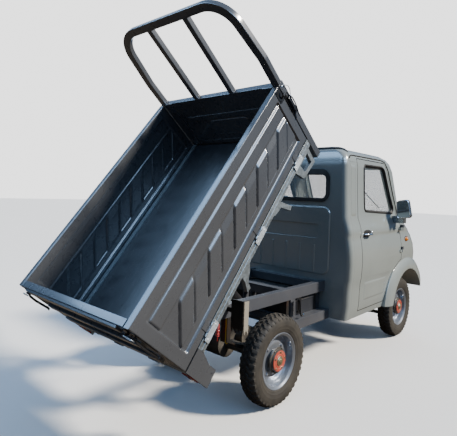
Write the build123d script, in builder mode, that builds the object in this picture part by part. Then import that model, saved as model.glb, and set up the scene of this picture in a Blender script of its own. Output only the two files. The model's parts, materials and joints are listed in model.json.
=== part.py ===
import os
from math import atan2, cos, degrees, hypot, radians, sin

from build123d import *

os.makedirs("parts", exist_ok=True)

# Wheels and axles, all lengths in millimetres from the rear axle
WHEELBASE = 1910
TYRE_R = 270
TYRE_HALF = 59
TREAD_HALF = 42
SIDEWALL_R = 225
BEAD_R = 158
BEAD_HALF = 40
WHEEL_Y = 466
RIM_GAP = 0.2
FLANGE_R = 168
FLANGE_IN = 43.2
FLANGE_OUT = 47
BARREL_R = 146
DISC_BACK = 10
DISC_FRONT = 20
DISH_LIP = 4
DISH_TOE = 6
HUB_R = 61
HUB_BACK = -36
HUB_FRONT = 44
CAP_R = 28
CAP_FRONT = 54
SPINDLE_R = 18
RUN_GAP = 0.3
SIDE_GAP = 5
DRUM_R = 95
DRUM_DEPTH = 34
AXLE_R = 32

# Steering
KINGPIN_Y = 365
KINGPIN_R = 10
KNUCKLE_R = 26
KNUCKLE_BOTTOM = 195
KNUCKLE_TOP = 372
ARM_BACK = 115
ARM_Z = 262
ARM_T = 12
ARM_HALF = 20
TIE_BACK = 101
ROD_R = 8
ROD_END_R = 14
ROD_END_H = 17
LINK_GAP = 0.5

# Cab, placed from the front axle
CAB_REAR = WHEELBASE - 1120
NOSE_X = WHEELBASE + 325
CAB_BOTTOM = 354
WALL = 40
FLOOR_TOP = CAB_BOTTOM + WALL
ROOF_SEAM = 1535
ROOF_Z = ROOF_SEAM + 102
BACK_SEAM = CAB_REAR + 60
BELT = 1110
SILL_IN = 470
GLASS_IN = 14
GLASS_T = 6
ARCH_R = 368
LINER_T = 6
FLARE_R = 470
FLARE_LIP_R = 392
FLARE_Y = 592
LINER_IN = 265
BUMPER_X = NOSE_X + 50

# Doors
DOOR_GAP = 6
DOOR_REAR = CAB_REAR + 188
DOOR_FRONT = WHEELBASE - 135
DOOR_TOP = ROOF_SEAM + 30
DOOR_BOTTOM = CAB_BOTTOM + 46
DOOR_ARCH_R = FLARE_R + 8
HINGE_X = DOOR_FRONT - 7
HINGE_Y = 574
HINGE_R = 7

# Frame
RAIL_IN = 310
RAIL_OUT = 360
RAIL_BOTTOM = 551
RAIL_TOP = 627
RAIL_REAR = -530
LOWER_IN = 330
LOWER_OUT = 400
LOWER_BOTTOM = 352
LOWER_TOP = 422
POST_X = (330, 385)
FRONT_RAIL_IN = 180
FRONT_RAIL_OUT = 245
FRONT_RAIL_BOTTOM = 290

# Tipping bed, given as it lies on the frame
TIP_ANGLE = 50.86
BED_REAR = -845
BED_Z = 740
BED_HALF = 530
BOARD_H = 421
BOARD_T = 38
BOARD_L = 1530
GATE_RIB = 14
PIVOT_X = -487
PIVOT_Z = 653
PIVOT_R = 14
BOARD_GAP = 5
BOARD_AXIS_OUT = 6
BOARD_AXIS_Z = BED_Z - 1.5
SILL_TOP = BED_Z - 6
SILL_BOTTOM = BED_Z - 54
SILL_W = 42
FLOOR_T = 15

# Tipping cylinder: base eye on the frame, rod eye on the bed
RAM_BASE_X = 250
RAM_BASE_Z = 450
RAM_EYE_X = -137
RAM_EYE_Z = 660
RAM_R = 38
RAM_L = 400
RAM_ROD_R = 20
RAM_ROD_IN = 340
RAM_EYE_R = 22

# The whole moves from the rear axle to the middle of its box, with the bed raised
tip_turn = radians(TIP_ANGLE)
rear_run = (PIVOT_X - BED_REAR + GATE_RIB) * cos(tip_turn) + (BED_Z + BOARD_H - PIVOT_Z) * sin(tip_turn)
REAR_END = PIVOT_X - rear_run
vehicle = Location((-(REAR_END + BUMPER_X) / 2, 0, 0))
tipped = Pos(PIVOT_X, 0, PIVOT_Z) * Rot(0, -TIP_ANGLE, 0) * Pos(-PIVOT_X, 0, -PIVOT_Z)


def slab(x, y, z, mode=Mode.ADD):
    with Locations(((x[0] + x[1]) / 2, (y[0] + y[1]) / 2, (z[0] + z[1]) / 2)):
        Box(x[1] - x[0], y[1] - y[0], z[1] - z[0], mode=mode)


def pair(x, y, z, mode=Mode.ADD):
    slab(x, y, z, mode=mode)
    slab(x, (-y[1], -y[0]), z, mode=mode)


def rod_y(x, z, radius, y, mode=Mode.ADD):
    with BuildSketch(Plane.XZ.offset(-y[0])) as disc:
        with Locations((x, z)):
            Circle(radius)
    extrude(disc.sketch, amount=-(y[1] - y[0]), mode=mode)


def rod_x(y, z, radius, x, mode=Mode.ADD):
    with BuildSketch(Plane.YZ.offset(x[0])) as disc:
        with Locations((y, z)):
            Circle(radius)
    extrude(disc.sketch, amount=x[1] - x[0], mode=mode)


def rod_z(x, y, radius, z, mode=Mode.ADD):
    with BuildSketch(Plane.XY.offset(z[0])) as disc:
        with Locations((x, y)):
            Circle(radius)
    extrude(disc.sketch, amount=z[1] - z[0], mode=mode)


def side_prism(points, y, mode=Mode.ADD):
    with BuildSketch(Plane.XZ.offset(-y[0])) as outline:
        with BuildLine():
            Polyline(*points, close=True)
        make_face()
    extrude(outline.sketch, amount=-(y[1] - y[0]), mode=mode)


def write(piece, name, place=Location()):
    moved = (vehicle * place) * piece
    moved.label = name
    export_step(moved, f"parts/{name}.step")


# Tyre and rim, drawn about their own axle with the outer face to the left
with BuildPart() as tyre:
    with BuildSketch(Plane.XY):
        with BuildLine():
            Polyline(
                (BEAD_R, -BEAD_HALF),
                (SIDEWALL_R, -TYRE_HALF),
                (TYRE_R, -TREAD_HALF),
                (TYRE_R, TREAD_HALF),
                (SIDEWALL_R, TYRE_HALF),
                (BEAD_R, BEAD_HALF),
                close=True,
            )
        make_face()
    revolve(axis=Axis.Y)

with BuildPart() as rim:
    with BuildSketch(Plane.XY):
        with BuildLine():
            Polyline(
                (SPINDLE_R + RUN_GAP, HUB_BACK),
                (HUB_R, HUB_BACK),
                (HUB_R, DISC_BACK),
                (BARREL_R, DISC_BACK),
                (BARREL_R, -FLANGE_OUT),
                (FLANGE_R, -FLANGE_OUT),
                (FLANGE_R, -FLANGE_IN),
                (BEAD_R - RIM_GAP, -FLANGE_IN),
                (BEAD_R - RIM_GAP, FLANGE_IN),
                (FLANGE_R, FLANGE_IN),
                (FLANGE_R, FLANGE_OUT),
                (BARREL_R + DISH_LIP, FLANGE_OUT),
                (BARREL_R - DISH_TOE, DISC_FRONT),
                (HUB_R, DISC_FRONT),
                (HUB_R, HUB_FRONT),
                (CAP_R, HUB_FRONT),
                (CAP_R, CAP_FRONT),
                (0, CAP_FRONT),
                (0, DISC_FRONT),
                (SPINDLE_R + RUN_GAP, DISC_FRONT),
                close=True,
            )
        make_face()
    revolve(axis=Axis.Y)

WHEEL_COLUMNS = ("name", "x", "y", "turn")
WHEEL_ROWS = (
    ("front_left", WHEELBASE, WHEEL_Y, 0),
    ("front_right", WHEELBASE, -WHEEL_Y, 180),
    ("rear_left", 0, WHEEL_Y, 0),
    ("rear_right", 0, -WHEEL_Y, 180),
)
for row in WHEEL_ROWS:
    wheel = dict(zip(WHEEL_COLUMNS, row))
    spot = Location((wheel["x"], wheel["y"], TYRE_R), (0, 0, wheel["turn"]))
    write(tyre.part, "tyre_" + wheel["name"], spot)
    write(rim.part, "rim_" + wheel["name"], spot)

# Rear axle with its drums, spindles, gear case and drive motor
DRUM_OUT = WHEEL_Y + HUB_BACK - SIDE_GAP
SPINDLE_SHORT = 2
SPINDLE_END = WHEEL_Y + DISC_FRONT - SPINDLE_SHORT
CASE_R = 92
CASE_Y = (-95, 75)
MOTOR_R = 72
MOTOR_X = 150
MOTOR_Z = 292
MOTOR_Y = (-150, 95)
PAD_Z = 304
PAD_HALF = 40
with BuildPart() as rear_axle:
    rod_y(0, TYRE_R, AXLE_R, (-DRUM_OUT, DRUM_OUT))
    rod_y(0, TYRE_R, SPINDLE_R, (-SPINDLE_END, SPINDLE_END))
    for side in (-1, 1):
        drum = sorted((side * DRUM_OUT, side * (DRUM_OUT - DRUM_DEPTH)))
        rod_y(0, TYRE_R, DRUM_R, drum)
    rod_y(0, TYRE_R, CASE_R, CASE_Y)
    rod_y(MOTOR_X, MOTOR_Z, MOTOR_R, MOTOR_Y)
    pair((-PAD_HALF, PAD_HALF), (RAIL_IN, RAIL_OUT), (TYRE_R, PAD_Z))
write(rear_axle.part, "rear_axle")

# Leaf springs with their hangers
LEAF_T = 10
LEAF_ROWS = ((0, 310), (1, 230), (2, 150))
LEAF_R = 620
LEAF_TOP = 345
LEAF_STEP = 8
HANGER_X = (-310, 280)
HANGER_W = 30
HANGER_FOOT = 410
with BuildPart() as rear_leaf_springs:
    for level, reach in LEAF_ROWS:
        with BuildSketch(Plane.XZ.offset(-RAIL_IN)):
            with Locations((0, LEAF_TOP + LEAF_R)):
                Circle(LEAF_R + LEAF_T * (level + 1))
                Circle(LEAF_R + LEAF_T * level, mode=Mode.SUBTRACT)
            with Locations((0, LEAF_TOP)):
                Rectangle(2 * reach, LEAF_R, mode=Mode.INTERSECT)
        extrude(amount=-(RAIL_OUT - RAIL_IN))
    slab((-PAD_HALF, PAD_HALF), (RAIL_IN, RAIL_OUT), (PAD_Z, LEAF_TOP + LEAF_STEP))
    for x in HANGER_X:
        slab((x, x + HANGER_W), (RAIL_IN, RAIL_OUT), (HANGER_FOOT, RAIL_BOTTOM))
    mirror(about=Plane.XZ)
write(rear_leaf_springs.part, "rear_leaf_springs")

# Frame rails
with BuildPart() as frame_upper_rails:
    pair((RAIL_REAR, CAB_REAR), (RAIL_IN, RAIL_OUT), (RAIL_BOTTOM, RAIL_TOP))
write(frame_upper_rails.part, "frame_upper_rails")

with BuildPart() as frame_lower_rails:
    pair((POST_X[0], CAB_REAR), (LOWER_IN, LOWER_OUT), (LOWER_BOTTOM, LOWER_TOP))
    pair((POST_X[0], NOSE_X), (FRONT_RAIL_IN, FRONT_RAIL_OUT), (FRONT_RAIL_BOTTOM, CAB_BOTTOM))
write(frame_lower_rails.part, "frame_lower_rails")

# Crossmembers, posts between the two levels, lugs for the cylinder's base, and a tow eye at each end
LUG_IN = 26
LUG_OUT = 40
LUG_HALF = 25
LUG_PIN_R = 12
CROSS_LOW = RAIL_BOTTOM + 5
CROSS_TOP = RAIL_TOP - 9
CROSS_W = 60
REAR_CROSS_X = PIVOT_X - 38
RAM_CROSS_X = RAM_BASE_X + 50
FRONT_CROSS_X = (WHEELBASE - 460, WHEELBASE + 240)
FRONT_CROSS_DROP = 8
TOW_HALF = 8
TOW_R = 26
TOW_BORE_R = 14
TOW_SHANK = 20
TOW_FRONT_X = NOSE_X + 15
TOW_FRONT_Z = 322
TOW_REAR_X = RAIL_REAR - 36
TOW_REAR_Z = 585
with BuildPart() as frame_crossmembers:
    slab((REAR_CROSS_X, REAR_CROSS_X + CROSS_W), (-RAIL_IN, RAIL_IN), (CROSS_LOW, CROSS_TOP))
    slab((RAM_CROSS_X, RAM_CROSS_X + CROSS_W), (-RAIL_IN, RAIL_IN), (CROSS_LOW, CROSS_TOP))
    slab((CAB_REAR - CROSS_W, CAB_REAR), (-RAIL_IN, RAIL_IN), (CROSS_LOW, CROSS_TOP))
    lug_end = RAM_CROSS_X + CROSS_W - SIDE_GAP
    lug_low = RAM_BASE_Z - LUG_HALF
    pair((RAM_BASE_X - LUG_PIN_R - LUG_HALF / 4, lug_end), (LUG_IN, LUG_OUT), (lug_low, RAM_BASE_Z + LUG_HALF))
    pair((RAM_CROSS_X, lug_end), (LUG_IN, LUG_OUT), (lug_low, CROSS_LOW + SIDE_GAP))
    rod_y(RAM_BASE_X, RAM_BASE_Z, LUG_PIN_R, (-LUG_OUT, LUG_OUT))
    slab(POST_X, (-LOWER_IN, LOWER_IN), (CAB_BOTTOM, LOWER_TOP))
    pair(POST_X, (LOWER_IN, RAIL_OUT), (LOWER_TOP, RAIL_BOTTOM))
    for x in FRONT_CROSS_X:
        front_span = (FRONT_RAIL_BOTTOM, CAB_BOTTOM - FRONT_CROSS_DROP)
        slab((x, x + CROSS_W), (-FRONT_RAIL_IN, FRONT_RAIL_IN), front_span)
    front_shank = (FRONT_CROSS_X[1] + CROSS_W - SIDE_GAP, TOW_FRONT_X)
    slab(front_shank, (-TOW_HALF, TOW_HALF), (TOW_FRONT_Z - TOW_SHANK, TOW_FRONT_Z + TOW_SHANK))
    rear_shank = (TOW_REAR_X, REAR_CROSS_X + SIDE_GAP)
    slab(rear_shank, (-TOW_HALF, TOW_HALF), (TOW_REAR_Z - TOW_SHANK, TOW_REAR_Z + TOW_SHANK))
    for x, z in ((TOW_FRONT_X, TOW_FRONT_Z), (TOW_REAR_X, TOW_REAR_Z)):
        rod_y(x, z, TOW_R, (-TOW_HALF, TOW_HALF))
        rod_y(x, z, TOW_BORE_R, (-TOW_HALF, TOW_HALF), mode=Mode.SUBTRACT)
write(frame_crossmembers.part, "frame_crossmembers")

# Bed pivot: one shaft with an outer cheek on each rail
CHEEK_R = 26
CHEEK_T = 12
CHEEK_OUT = RAIL_OUT + CHEEK_T
CHEEK_FOOT = RAIL_BOTTOM + 20
with BuildPart() as bed_pivot:
    rod_y(PIVOT_X, PIVOT_Z, PIVOT_R, (-CHEEK_OUT, CHEEK_OUT))
    pair((PIVOT_X - CHEEK_R, PIVOT_X + CHEEK_R), (RAIL_OUT, CHEEK_OUT), (CHEEK_FOOT, PIVOT_Z))
    for y in ((RAIL_OUT, CHEEK_OUT), (-CHEEK_OUT, -RAIL_OUT)):
        rod_y(PIVOT_X, PIVOT_Z, CHEEK_R, y)
write(bed_pivot.part, "bed_pivot")

# Battery pack between the lower rails
BATTERY_X = (POST_X[1] + 15, CAB_REAR - 25)
BATTERY_Z = (LOWER_BOTTOM + 8, RAIL_BOTTOM - 6)
with BuildPart() as battery_pack:
    slab(BATTERY_X, (-LOWER_IN, LOWER_IN), BATTERY_Z)
write(battery_pack.part, "battery_pack")

# Front axle: beam, lower arms, kingpins and struts
BEAM_BOTTOM = 230
LOWER_ARM_Z = (165, 190)
STRUT_R = 22
STRUT_FOOT = (KINGPIN_Y, 378)
STRUT_HEAD = (300, 612)
BEAM_HALF = 50
DROP_HALF = 35
DROP_IN = 200
PIN_OVER = 10
strut_lean = degrees(atan2(STRUT_HEAD[0] - STRUT_FOOT[0], STRUT_HEAD[1] - STRUT_FOOT[1]))
strut_length = hypot(STRUT_HEAD[0] - STRUT_FOOT[0], STRUT_HEAD[1] - STRUT_FOOT[1])
strut_plane = Plane((WHEELBASE, STRUT_FOOT[0], STRUT_FOOT[1])).rotated((-strut_lean, 0, 0))
with BuildPart() as front_axle:
    slab((WHEELBASE - BEAM_HALF, WHEELBASE + BEAM_HALF), (0, FRONT_RAIL_OUT), (BEAM_BOTTOM, FRONT_RAIL_BOTTOM))
    drop_x = (WHEELBASE - DROP_HALF, WHEELBASE + DROP_HALF)
    slab(drop_x, (DROP_IN, FRONT_RAIL_OUT), (LOWER_ARM_Z[0], FRONT_RAIL_BOTTOM))
    slab((WHEELBASE - ARM_HALF, WHEELBASE + ARM_HALF), (DROP_IN, KINGPIN_Y), LOWER_ARM_Z)
    rod_z(WHEELBASE, KINGPIN_Y, ARM_HALF, LOWER_ARM_Z)
    rod_z(WHEELBASE, KINGPIN_Y, KINGPIN_R, (LOWER_ARM_Z[0], STRUT_FOOT[1] + PIN_OVER))
    with BuildSketch(strut_plane):
        Circle(STRUT_R)
    extrude(amount=strut_length)
    mirror(about=Plane.XZ)
write(front_axle.part, "front_axle")

# Steering knuckles: sleeve on the kingpin, drum, spindle and arm
ARM_Y = (KINGPIN_Y - 22, KINGPIN_Y + 10)
with BuildPart() as knuckle_left:
    rod_z(0, KINGPIN_Y, KNUCKLE_R, (KNUCKLE_BOTTOM, KNUCKLE_TOP))
    rod_y(0, TYRE_R, DRUM_R, (DRUM_OUT - DRUM_DEPTH, DRUM_OUT))
    rod_y(0, TYRE_R, SPINDLE_R, (KINGPIN_Y, SPINDLE_END))
    slab((-ARM_BACK, 0), ARM_Y, (ARM_Z, ARM_Z + ARM_T))
    rod_z(0, KINGPIN_Y, KINGPIN_R + RUN_GAP, (KNUCKLE_BOTTOM, KNUCKLE_TOP), mode=Mode.SUBTRACT)
write(knuckle_left.part, "knuckle_left", Pos(WHEELBASE, 0, 0))

with BuildPart() as knuckle_right:
    mirror(knuckle_left.part, about=Plane.XZ)
write(knuckle_right.part, "knuckle_right", Pos(WHEELBASE, 0, 0))

# Tie rod below the two steering arms
TIE_TOP = ARM_Z - LINK_GAP
TIE_Z = TIE_TOP - ROD_END_H / 2
TIE_X = WHEELBASE - TIE_BACK
TIE_END_Y = KINGPIN_Y - 8
with BuildPart() as tie_rod:
    rod_y(TIE_X, TIE_Z, ROD_R, (-TIE_END_Y, TIE_END_Y))
    for side in (-1, 1):
        rod_z(TIE_X, side * TIE_END_Y, ROD_END_R, (TIE_TOP - ROD_END_H, TIE_TOP))
write(tie_rod.part, "tie_rod")

# Cab: level sections of the skin; rise runs 0 to 1 from sill to belt, to 2 at the roof seam, to 3 on the roof
SECTION_COLUMNS = ("rise", "half", "nose", "rear", "front_r", "rear_r")
SECTION_ROWS = (
    (0.000, 532, 30, 0, 180, 45),
    (0.127, 546, 7, 0, 180, 45),
    (0.273, 550, 0, 0, 180, 45),
    (0.348, 553, 0, 0, 180, 45),
    (0.398, 561, 0, 0, 185, 45),
    (0.544, 567, 1, 0, 185, 45),
    (0.656, 563, 18, 0, 185, 45),
    (0.762, 552, 68, 0, 178, 45),
    (0.804, 543, 103, 0, 172, 45),
    (0.841, 549, 145, 0, 172, 45),
    (0.901, 543, 212, 0, 168, 45),
    (1.000, 517, 283, 0, 155, 45),
    (1.450, 506, 363, 0, 150, 45),
    (1.920, 500, 453, 0, 145, 45),
    (2.294, 488, 497, 5, 140, 48),
    (2.637, 470, 550, 16, 130, 50),
    (2.882, 440, 630, 40, 120, 55),
    (3.000, 395, 745, 90, 110, 60),
)
LEVELS = (CAB_BOTTOM, BELT, ROOF_SEAM, ROOF_Z)
TURN_SHARE = 0.5


def section_level(rise, inset):
    band = min(int(rise), 2)
    level = LEVELS[band] + (LEVELS[band + 1] - LEVELS[band]) * (rise - band)
    if rise == 0:
        return level + inset
    return level - inset if rise > 2 else level


def cab_block(inset):
    with BuildPart() as block:
        for row in SECTION_ROWS:
            cut = dict(zip(SECTION_COLUMNS, row))
            rear = CAB_REAR + cut["rear"] + inset
            front = NOSE_X - cut["nose"] - inset
            half = cut["half"] - inset
            rear_turn = cut["rear_r"] - inset * TURN_SHARE
            front_turn = cut["front_r"] - inset * TURN_SHARE
            with BuildSketch(Plane.XY.offset(section_level(cut["rise"], inset))):
                with BuildLine():
                    FilletPolyline(
                        (rear, -half),
                        (front, -half),
                        (front, half),
                        (rear, half),
                        radius=[rear_turn, front_turn, front_turn, rear_turn],
                        close=True,
                    )
                make_face()
        loft(ruled=True)
    return block.part


cab_outer = cab_block(0)
cab_inner = cab_block(WALL)
pane_outer = cab_block(GLASS_IN)
pane_inner = cab_block(GLASS_IN + GLASS_T)

# Openings in the cab skin
SCREEN_REAR = NOSE_X - 785
SCREEN_HALF = 428
SCREEN_Z = (BELT + 8, ROOF_SEAM)
BACK_LIGHT_HALF = 340
BACK_LIGHT_Z = (BELT + 140, ROOF_SEAM - 105)
BACK_LIGHT_R = 40
FAR_X = NOSE_X + 400
FAR_Y = 700
back_plane = Plane((CAB_REAR, 0, 0), x_dir=(0, 1, 0), z_dir=(-1, 0, 0))


def screen_hole(mode=Mode.SUBTRACT):
    slab((SCREEN_REAR, FAR_X), (-SCREEN_HALF, SCREEN_HALF), SCREEN_Z, mode=mode)


def back_light_hole(mode=Mode.SUBTRACT):
    with BuildSketch(back_plane) as light:
        with Locations((0, -sum(BACK_LIGHT_Z) / 2)):
            RectangleRounded(2 * BACK_LIGHT_HALF, BACK_LIGHT_Z[1] - BACK_LIGHT_Z[0], BACK_LIGHT_R)
    extrude(light.sketch, amount=2 * WALL, both=True, mode=mode)


def arch_hole(mode=Mode.SUBTRACT):
    for side in (-1, 1):
        reach = sorted((side * (LINER_IN - LINER_T), side * FAR_Y))
        rod_y(WHEELBASE, TYRE_R, ARCH_R, reach, mode=mode)


with BuildPart() as cab_shell:
    add(cab_outer)
    add(cab_inner, mode=Mode.SUBTRACT)
    screen_hole()
    back_light_hole()
    arch_hole()

# Door outline in side view, grown or shrunk by half the gap
ARCH_TOUCH_X = WHEELBASE - (DOOR_ARCH_R**2 - (DOOR_BOTTOM - TYRE_R) ** 2) ** 0.5
ARCH_TOUCH_Z = TYRE_R + (DOOR_ARCH_R**2 - (WHEELBASE - DOOR_FRONT) ** 2) ** 0.5
ARCH_MID = radians(138)
PILLAR_FOOT = (DOOR_FRONT - 30, BELT + 8)
PILLAR_HEAD = (DOOR_FRONT - 265, DOOR_TOP)
DOOR_SHOULDER = BELT - 20
DOOR_PLANE = Plane.XZ.offset(200)
DOOR_DEPTH = 500


def door_prism(grow, mode):
    with BuildSketch(DOOR_PLANE) as outline:
        with BuildLine():
            Polyline(
                (DOOR_FRONT, ARCH_TOUCH_Z),
                (DOOR_FRONT, DOOR_SHOULDER),
                PILLAR_FOOT,
                PILLAR_HEAD,
                (DOOR_REAR, DOOR_TOP),
                (DOOR_REAR, DOOR_BOTTOM),
                (ARCH_TOUCH_X, DOOR_BOTTOM),
            )
            ThreePointArc(
                (ARCH_TOUCH_X, DOOR_BOTTOM),
                (WHEELBASE + DOOR_ARCH_R * cos(ARCH_MID), TYRE_R + DOOR_ARCH_R * sin(ARCH_MID)),
                (DOOR_FRONT, ARCH_TOUCH_Z),
            )
        make_face()
        offset(amount=grow, kind=Kind.INTERSECTION)
    extrude(outline.sketch, amount=DOOR_DEPTH, mode=mode)


WINDOW_CORNERS = (
    (DOOR_REAR + 117, BELT + 48),
    (DOOR_FRONT - 75, BELT + 24),
    (DOOR_FRONT - 303, DOOR_TOP - 36),
    (DOOR_REAR + 112, DOOR_TOP - 42),
)
WINDOW_TURNS = [35, 35, 80, 35]


def door_window(mode):
    with BuildSketch(DOOR_PLANE) as opening:
        with BuildLine():
            FilletPolyline(*WINDOW_CORNERS, radius=WINDOW_TURNS, close=True)
        make_face()
    extrude(opening.sketch, amount=DOOR_DEPTH, mode=mode)


# Panels of the cab, parted where the real ones meet
FRONT_SEAM = DOOR_FRONT + DOOR_GAP / 2
POST_SEAM = DOOR_FRONT - 400
ABOVE = ROOF_Z + 200
with BuildPart() as roof_blank:
    add(cab_shell.part)
    slab((0, FAR_X), (-FAR_Y, FAR_Y), (ROOF_SEAM, ABOVE), mode=Mode.INTERSECT)
    door_prism(DOOR_GAP / 2, Mode.SUBTRACT)
with BuildPart() as cab_roof:
    add(roof_blank.part)
    slab((0, FAR_X), (-FAR_Y, 0), (0, ABOVE), mode=Mode.INTERSECT)
    mirror(about=Plane.XZ)
write(cab_roof.part, "cab_roof")

# Back wall with a raised panel, a sunk field and upright ribs
PANEL_HALF = 386
PANEL_Z = (RAIL_TOP + 40, BELT + 75)
PANEL_R = 60
PANEL_RISE = 9
PANEL_TAPER = 40
SUNK_HALF = 288
SUNK_Z = (BELT - 170, BELT - 60)
SUNK_R = 20
SUNK_DEPTH = 6
RIB_Y = (-258, -129, 0, 129, 258)
RIB_R = 10
RIB_BURY = 5
RIB_Z = (RAIL_TOP + 55, BELT - 220)
with BuildPart() as cab_back:
    add(cab_shell.part)
    slab((0, BACK_SEAM), (-FAR_Y, FAR_Y), (0, ROOF_SEAM), mode=Mode.INTERSECT)
    with BuildSketch(back_plane):
        with Locations((0, -sum(PANEL_Z) / 2)):
            RectangleRounded(2 * PANEL_HALF, PANEL_Z[1] - PANEL_Z[0], PANEL_R)
    extrude(amount=PANEL_RISE, taper=PANEL_TAPER)
    with BuildSketch(back_plane.offset(PANEL_RISE)):
        with Locations((0, -sum(SUNK_Z) / 2)):
            RectangleRounded(2 * SUNK_HALF, SUNK_Z[1] - SUNK_Z[0], SUNK_R)
    extrude(amount=-SUNK_DEPTH, mode=Mode.SUBTRACT)
    for y in RIB_Y:
        rod_z(CAB_REAR - RIB_BURY, y, RIB_R, RIB_Z)
write(cab_back.part, "cab_back")

# Rubber round the rear window
SEAL_HALF = BACK_LIGHT_HALF + 32
SEAL_Z = (BACK_LIGHT_Z[0] - 28, BACK_LIGHT_Z[1] + 46)
SEAL_R = 72
SEAL_T = 8
with BuildPart() as back_window_seal:
    with BuildSketch(back_plane):
        with Locations((0, -sum(SEAL_Z) / 2)):
            RectangleRounded(2 * SEAL_HALF, SEAL_Z[1] - SEAL_Z[0], SEAL_R)
    extrude(amount=SEAL_T)
    back_light_hole()
write(back_window_seal.part, "back_window_seal")

# Nose and windscreen posts
with BuildPart() as front_zone:
    slab((FRONT_SEAM, FAR_X), (-FAR_Y, FAR_Y), (0, BELT))
    slab((POST_SEAM, FAR_X), (-FAR_Y, FAR_Y), (BELT, ROOF_SEAM))
with BuildPart() as front_right:
    add(cab_shell.part)
    add(front_zone.part, mode=Mode.INTERSECT)
    door_prism(DOOR_GAP / 2, Mode.SUBTRACT)
    slab((0, FAR_X), (-FAR_Y, 0), (0, ABOVE), mode=Mode.INTERSECT)
with BuildPart() as cab_front:
    add(front_right.part)
    mirror(about=Plane.XZ)
write(cab_front.part, "cab_front")

SEAT_BOX_X = (BACK_SEAM, BACK_SEAM + 390)
SEAT_BOX_Z = FLOOR_TOP + 246
SEAT_BOX_HALF = SILL_IN - 30
with BuildPart() as floor_zone:
    slab((BACK_SEAM, FRONT_SEAM), (-SILL_IN, SILL_IN), (0, FLOOR_TOP))
with BuildPart() as cab_floor:
    add(cab_shell.part)
    add(floor_zone.part, mode=Mode.INTERSECT)
    slab(SEAT_BOX_X, (-SEAT_BOX_HALF, SEAT_BOX_HALF), (FLOOR_TOP, SEAT_BOX_Z))
write(cab_floor.part, "cab_floor")

with BuildPart() as side_right:
    add(cab_shell.part)
    slab((BACK_SEAM, FAR_X), (-FAR_Y, 0), (0, ROOF_SEAM), mode=Mode.INTERSECT)
    add(front_zone.part, mode=Mode.SUBTRACT)
    add(floor_zone.part, mode=Mode.SUBTRACT)
    door_prism(DOOR_GAP / 2, Mode.SUBTRACT)
with BuildPart() as cab_sides:
    add(side_right.part)
    mirror(about=Plane.XZ)
write(cab_sides.part, "cab_sides")

# Fixed glass
with BuildPart() as panes:
    screen_hole(Mode.ADD)
    back_light_hole(Mode.ADD)
with BuildPart() as cab_glass:
    add(pane_outer)
    add(pane_inner, mode=Mode.SUBTRACT)
    add(panes.part, mode=Mode.INTERSECT)
write(cab_glass.part, "cab_glass")

# Doors with their hinge leaves, glass and mirrors
HINGE_H = 25
HINGE_LOW = (BELT - 320, BELT - 125)
HINGE_STEP = 0.5
HINGE_LEAF = 35
HINGE_DEEP = 40
LEAF_Y = (-HINGE_Y - 2, -HINGE_Y + 4)
with BuildPart() as door_right:
    add(cab_shell.part)
    door_prism(-DOOR_GAP / 2, Mode.INTERSECT)
    door_window(Mode.SUBTRACT)
    for z in HINGE_LOW:
        rod_z(HINGE_X, -HINGE_Y, HINGE_R, (z, z + HINGE_H))
        slab((HINGE_X - HINGE_LEAF, HINGE_X), (-HINGE_Y, -HINGE_Y + HINGE_DEEP), (z, z + HINGE_H))
write(door_right.part, "door_right")

with BuildPart() as door_left:
    mirror(door_right.part, about=Plane.XZ)
write(door_left.part, "door_left")

with BuildPart() as door_glass_right:
    add(pane_outer)
    add(pane_inner, mode=Mode.SUBTRACT)
    door_window(Mode.INTERSECT)
write(door_glass_right.part, "door_glass_right")

with BuildPart() as door_glass_left:
    mirror(door_glass_right.part, about=Plane.XZ)
write(door_glass_left.part, "door_glass_left")

MIRROR_X = DOOR_FRONT - 163
MIRROR_T = 38
MIRROR_CORNERS = (
    (-572, BELT - 18),
    (-697, BELT - 2),
    (-668, BELT + 156),
    (-568, BELT + 140),
)
MIRROR_TURN = 24
FOOT_X = (MIRROR_X + 26, MIRROR_X + 88)
FOOT_Y = (-625, -500)
FOOT_Z = (BELT - 55, BELT + 5)
with BuildPart() as mirror_right:
    with BuildSketch(Plane.YZ.offset(MIRROR_X)):
        with BuildLine():
            FilletPolyline(*MIRROR_CORNERS, radius=MIRROR_TURN, close=True)
        make_face()
    extrude(amount=MIRROR_T)
    slab(FOOT_X, FOOT_Y, FOOT_Z)
    add(cab_outer, mode=Mode.SUBTRACT)
write(mirror_right.part, "mirror_right")

with BuildPart() as mirror_left:
    mirror(mirror_right.part, about=Plane.XZ)
write(mirror_left.part, "mirror_left")

with BuildPart() as door_hinges:
    for z in HINGE_LOW:
        low = z + HINGE_H + HINGE_STEP
        rod_z(HINGE_X, -HINGE_Y, HINGE_R, (low, low + HINGE_H))
        slab((HINGE_X, HINGE_X + HINGE_LEAF), LEAF_Y, (low, low + HINGE_H))
        deep_x = (DOOR_FRONT + DOOR_GAP, HINGE_X + HINGE_LEAF)
        slab(deep_x, (-HINGE_Y, -HINGE_Y + HINGE_DEEP), (low, low + HINGE_H))
    add(cab_outer, mode=Mode.SUBTRACT)
    mirror(about=Plane.XZ)
write(door_hinges.part, "door_hinges")

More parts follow.
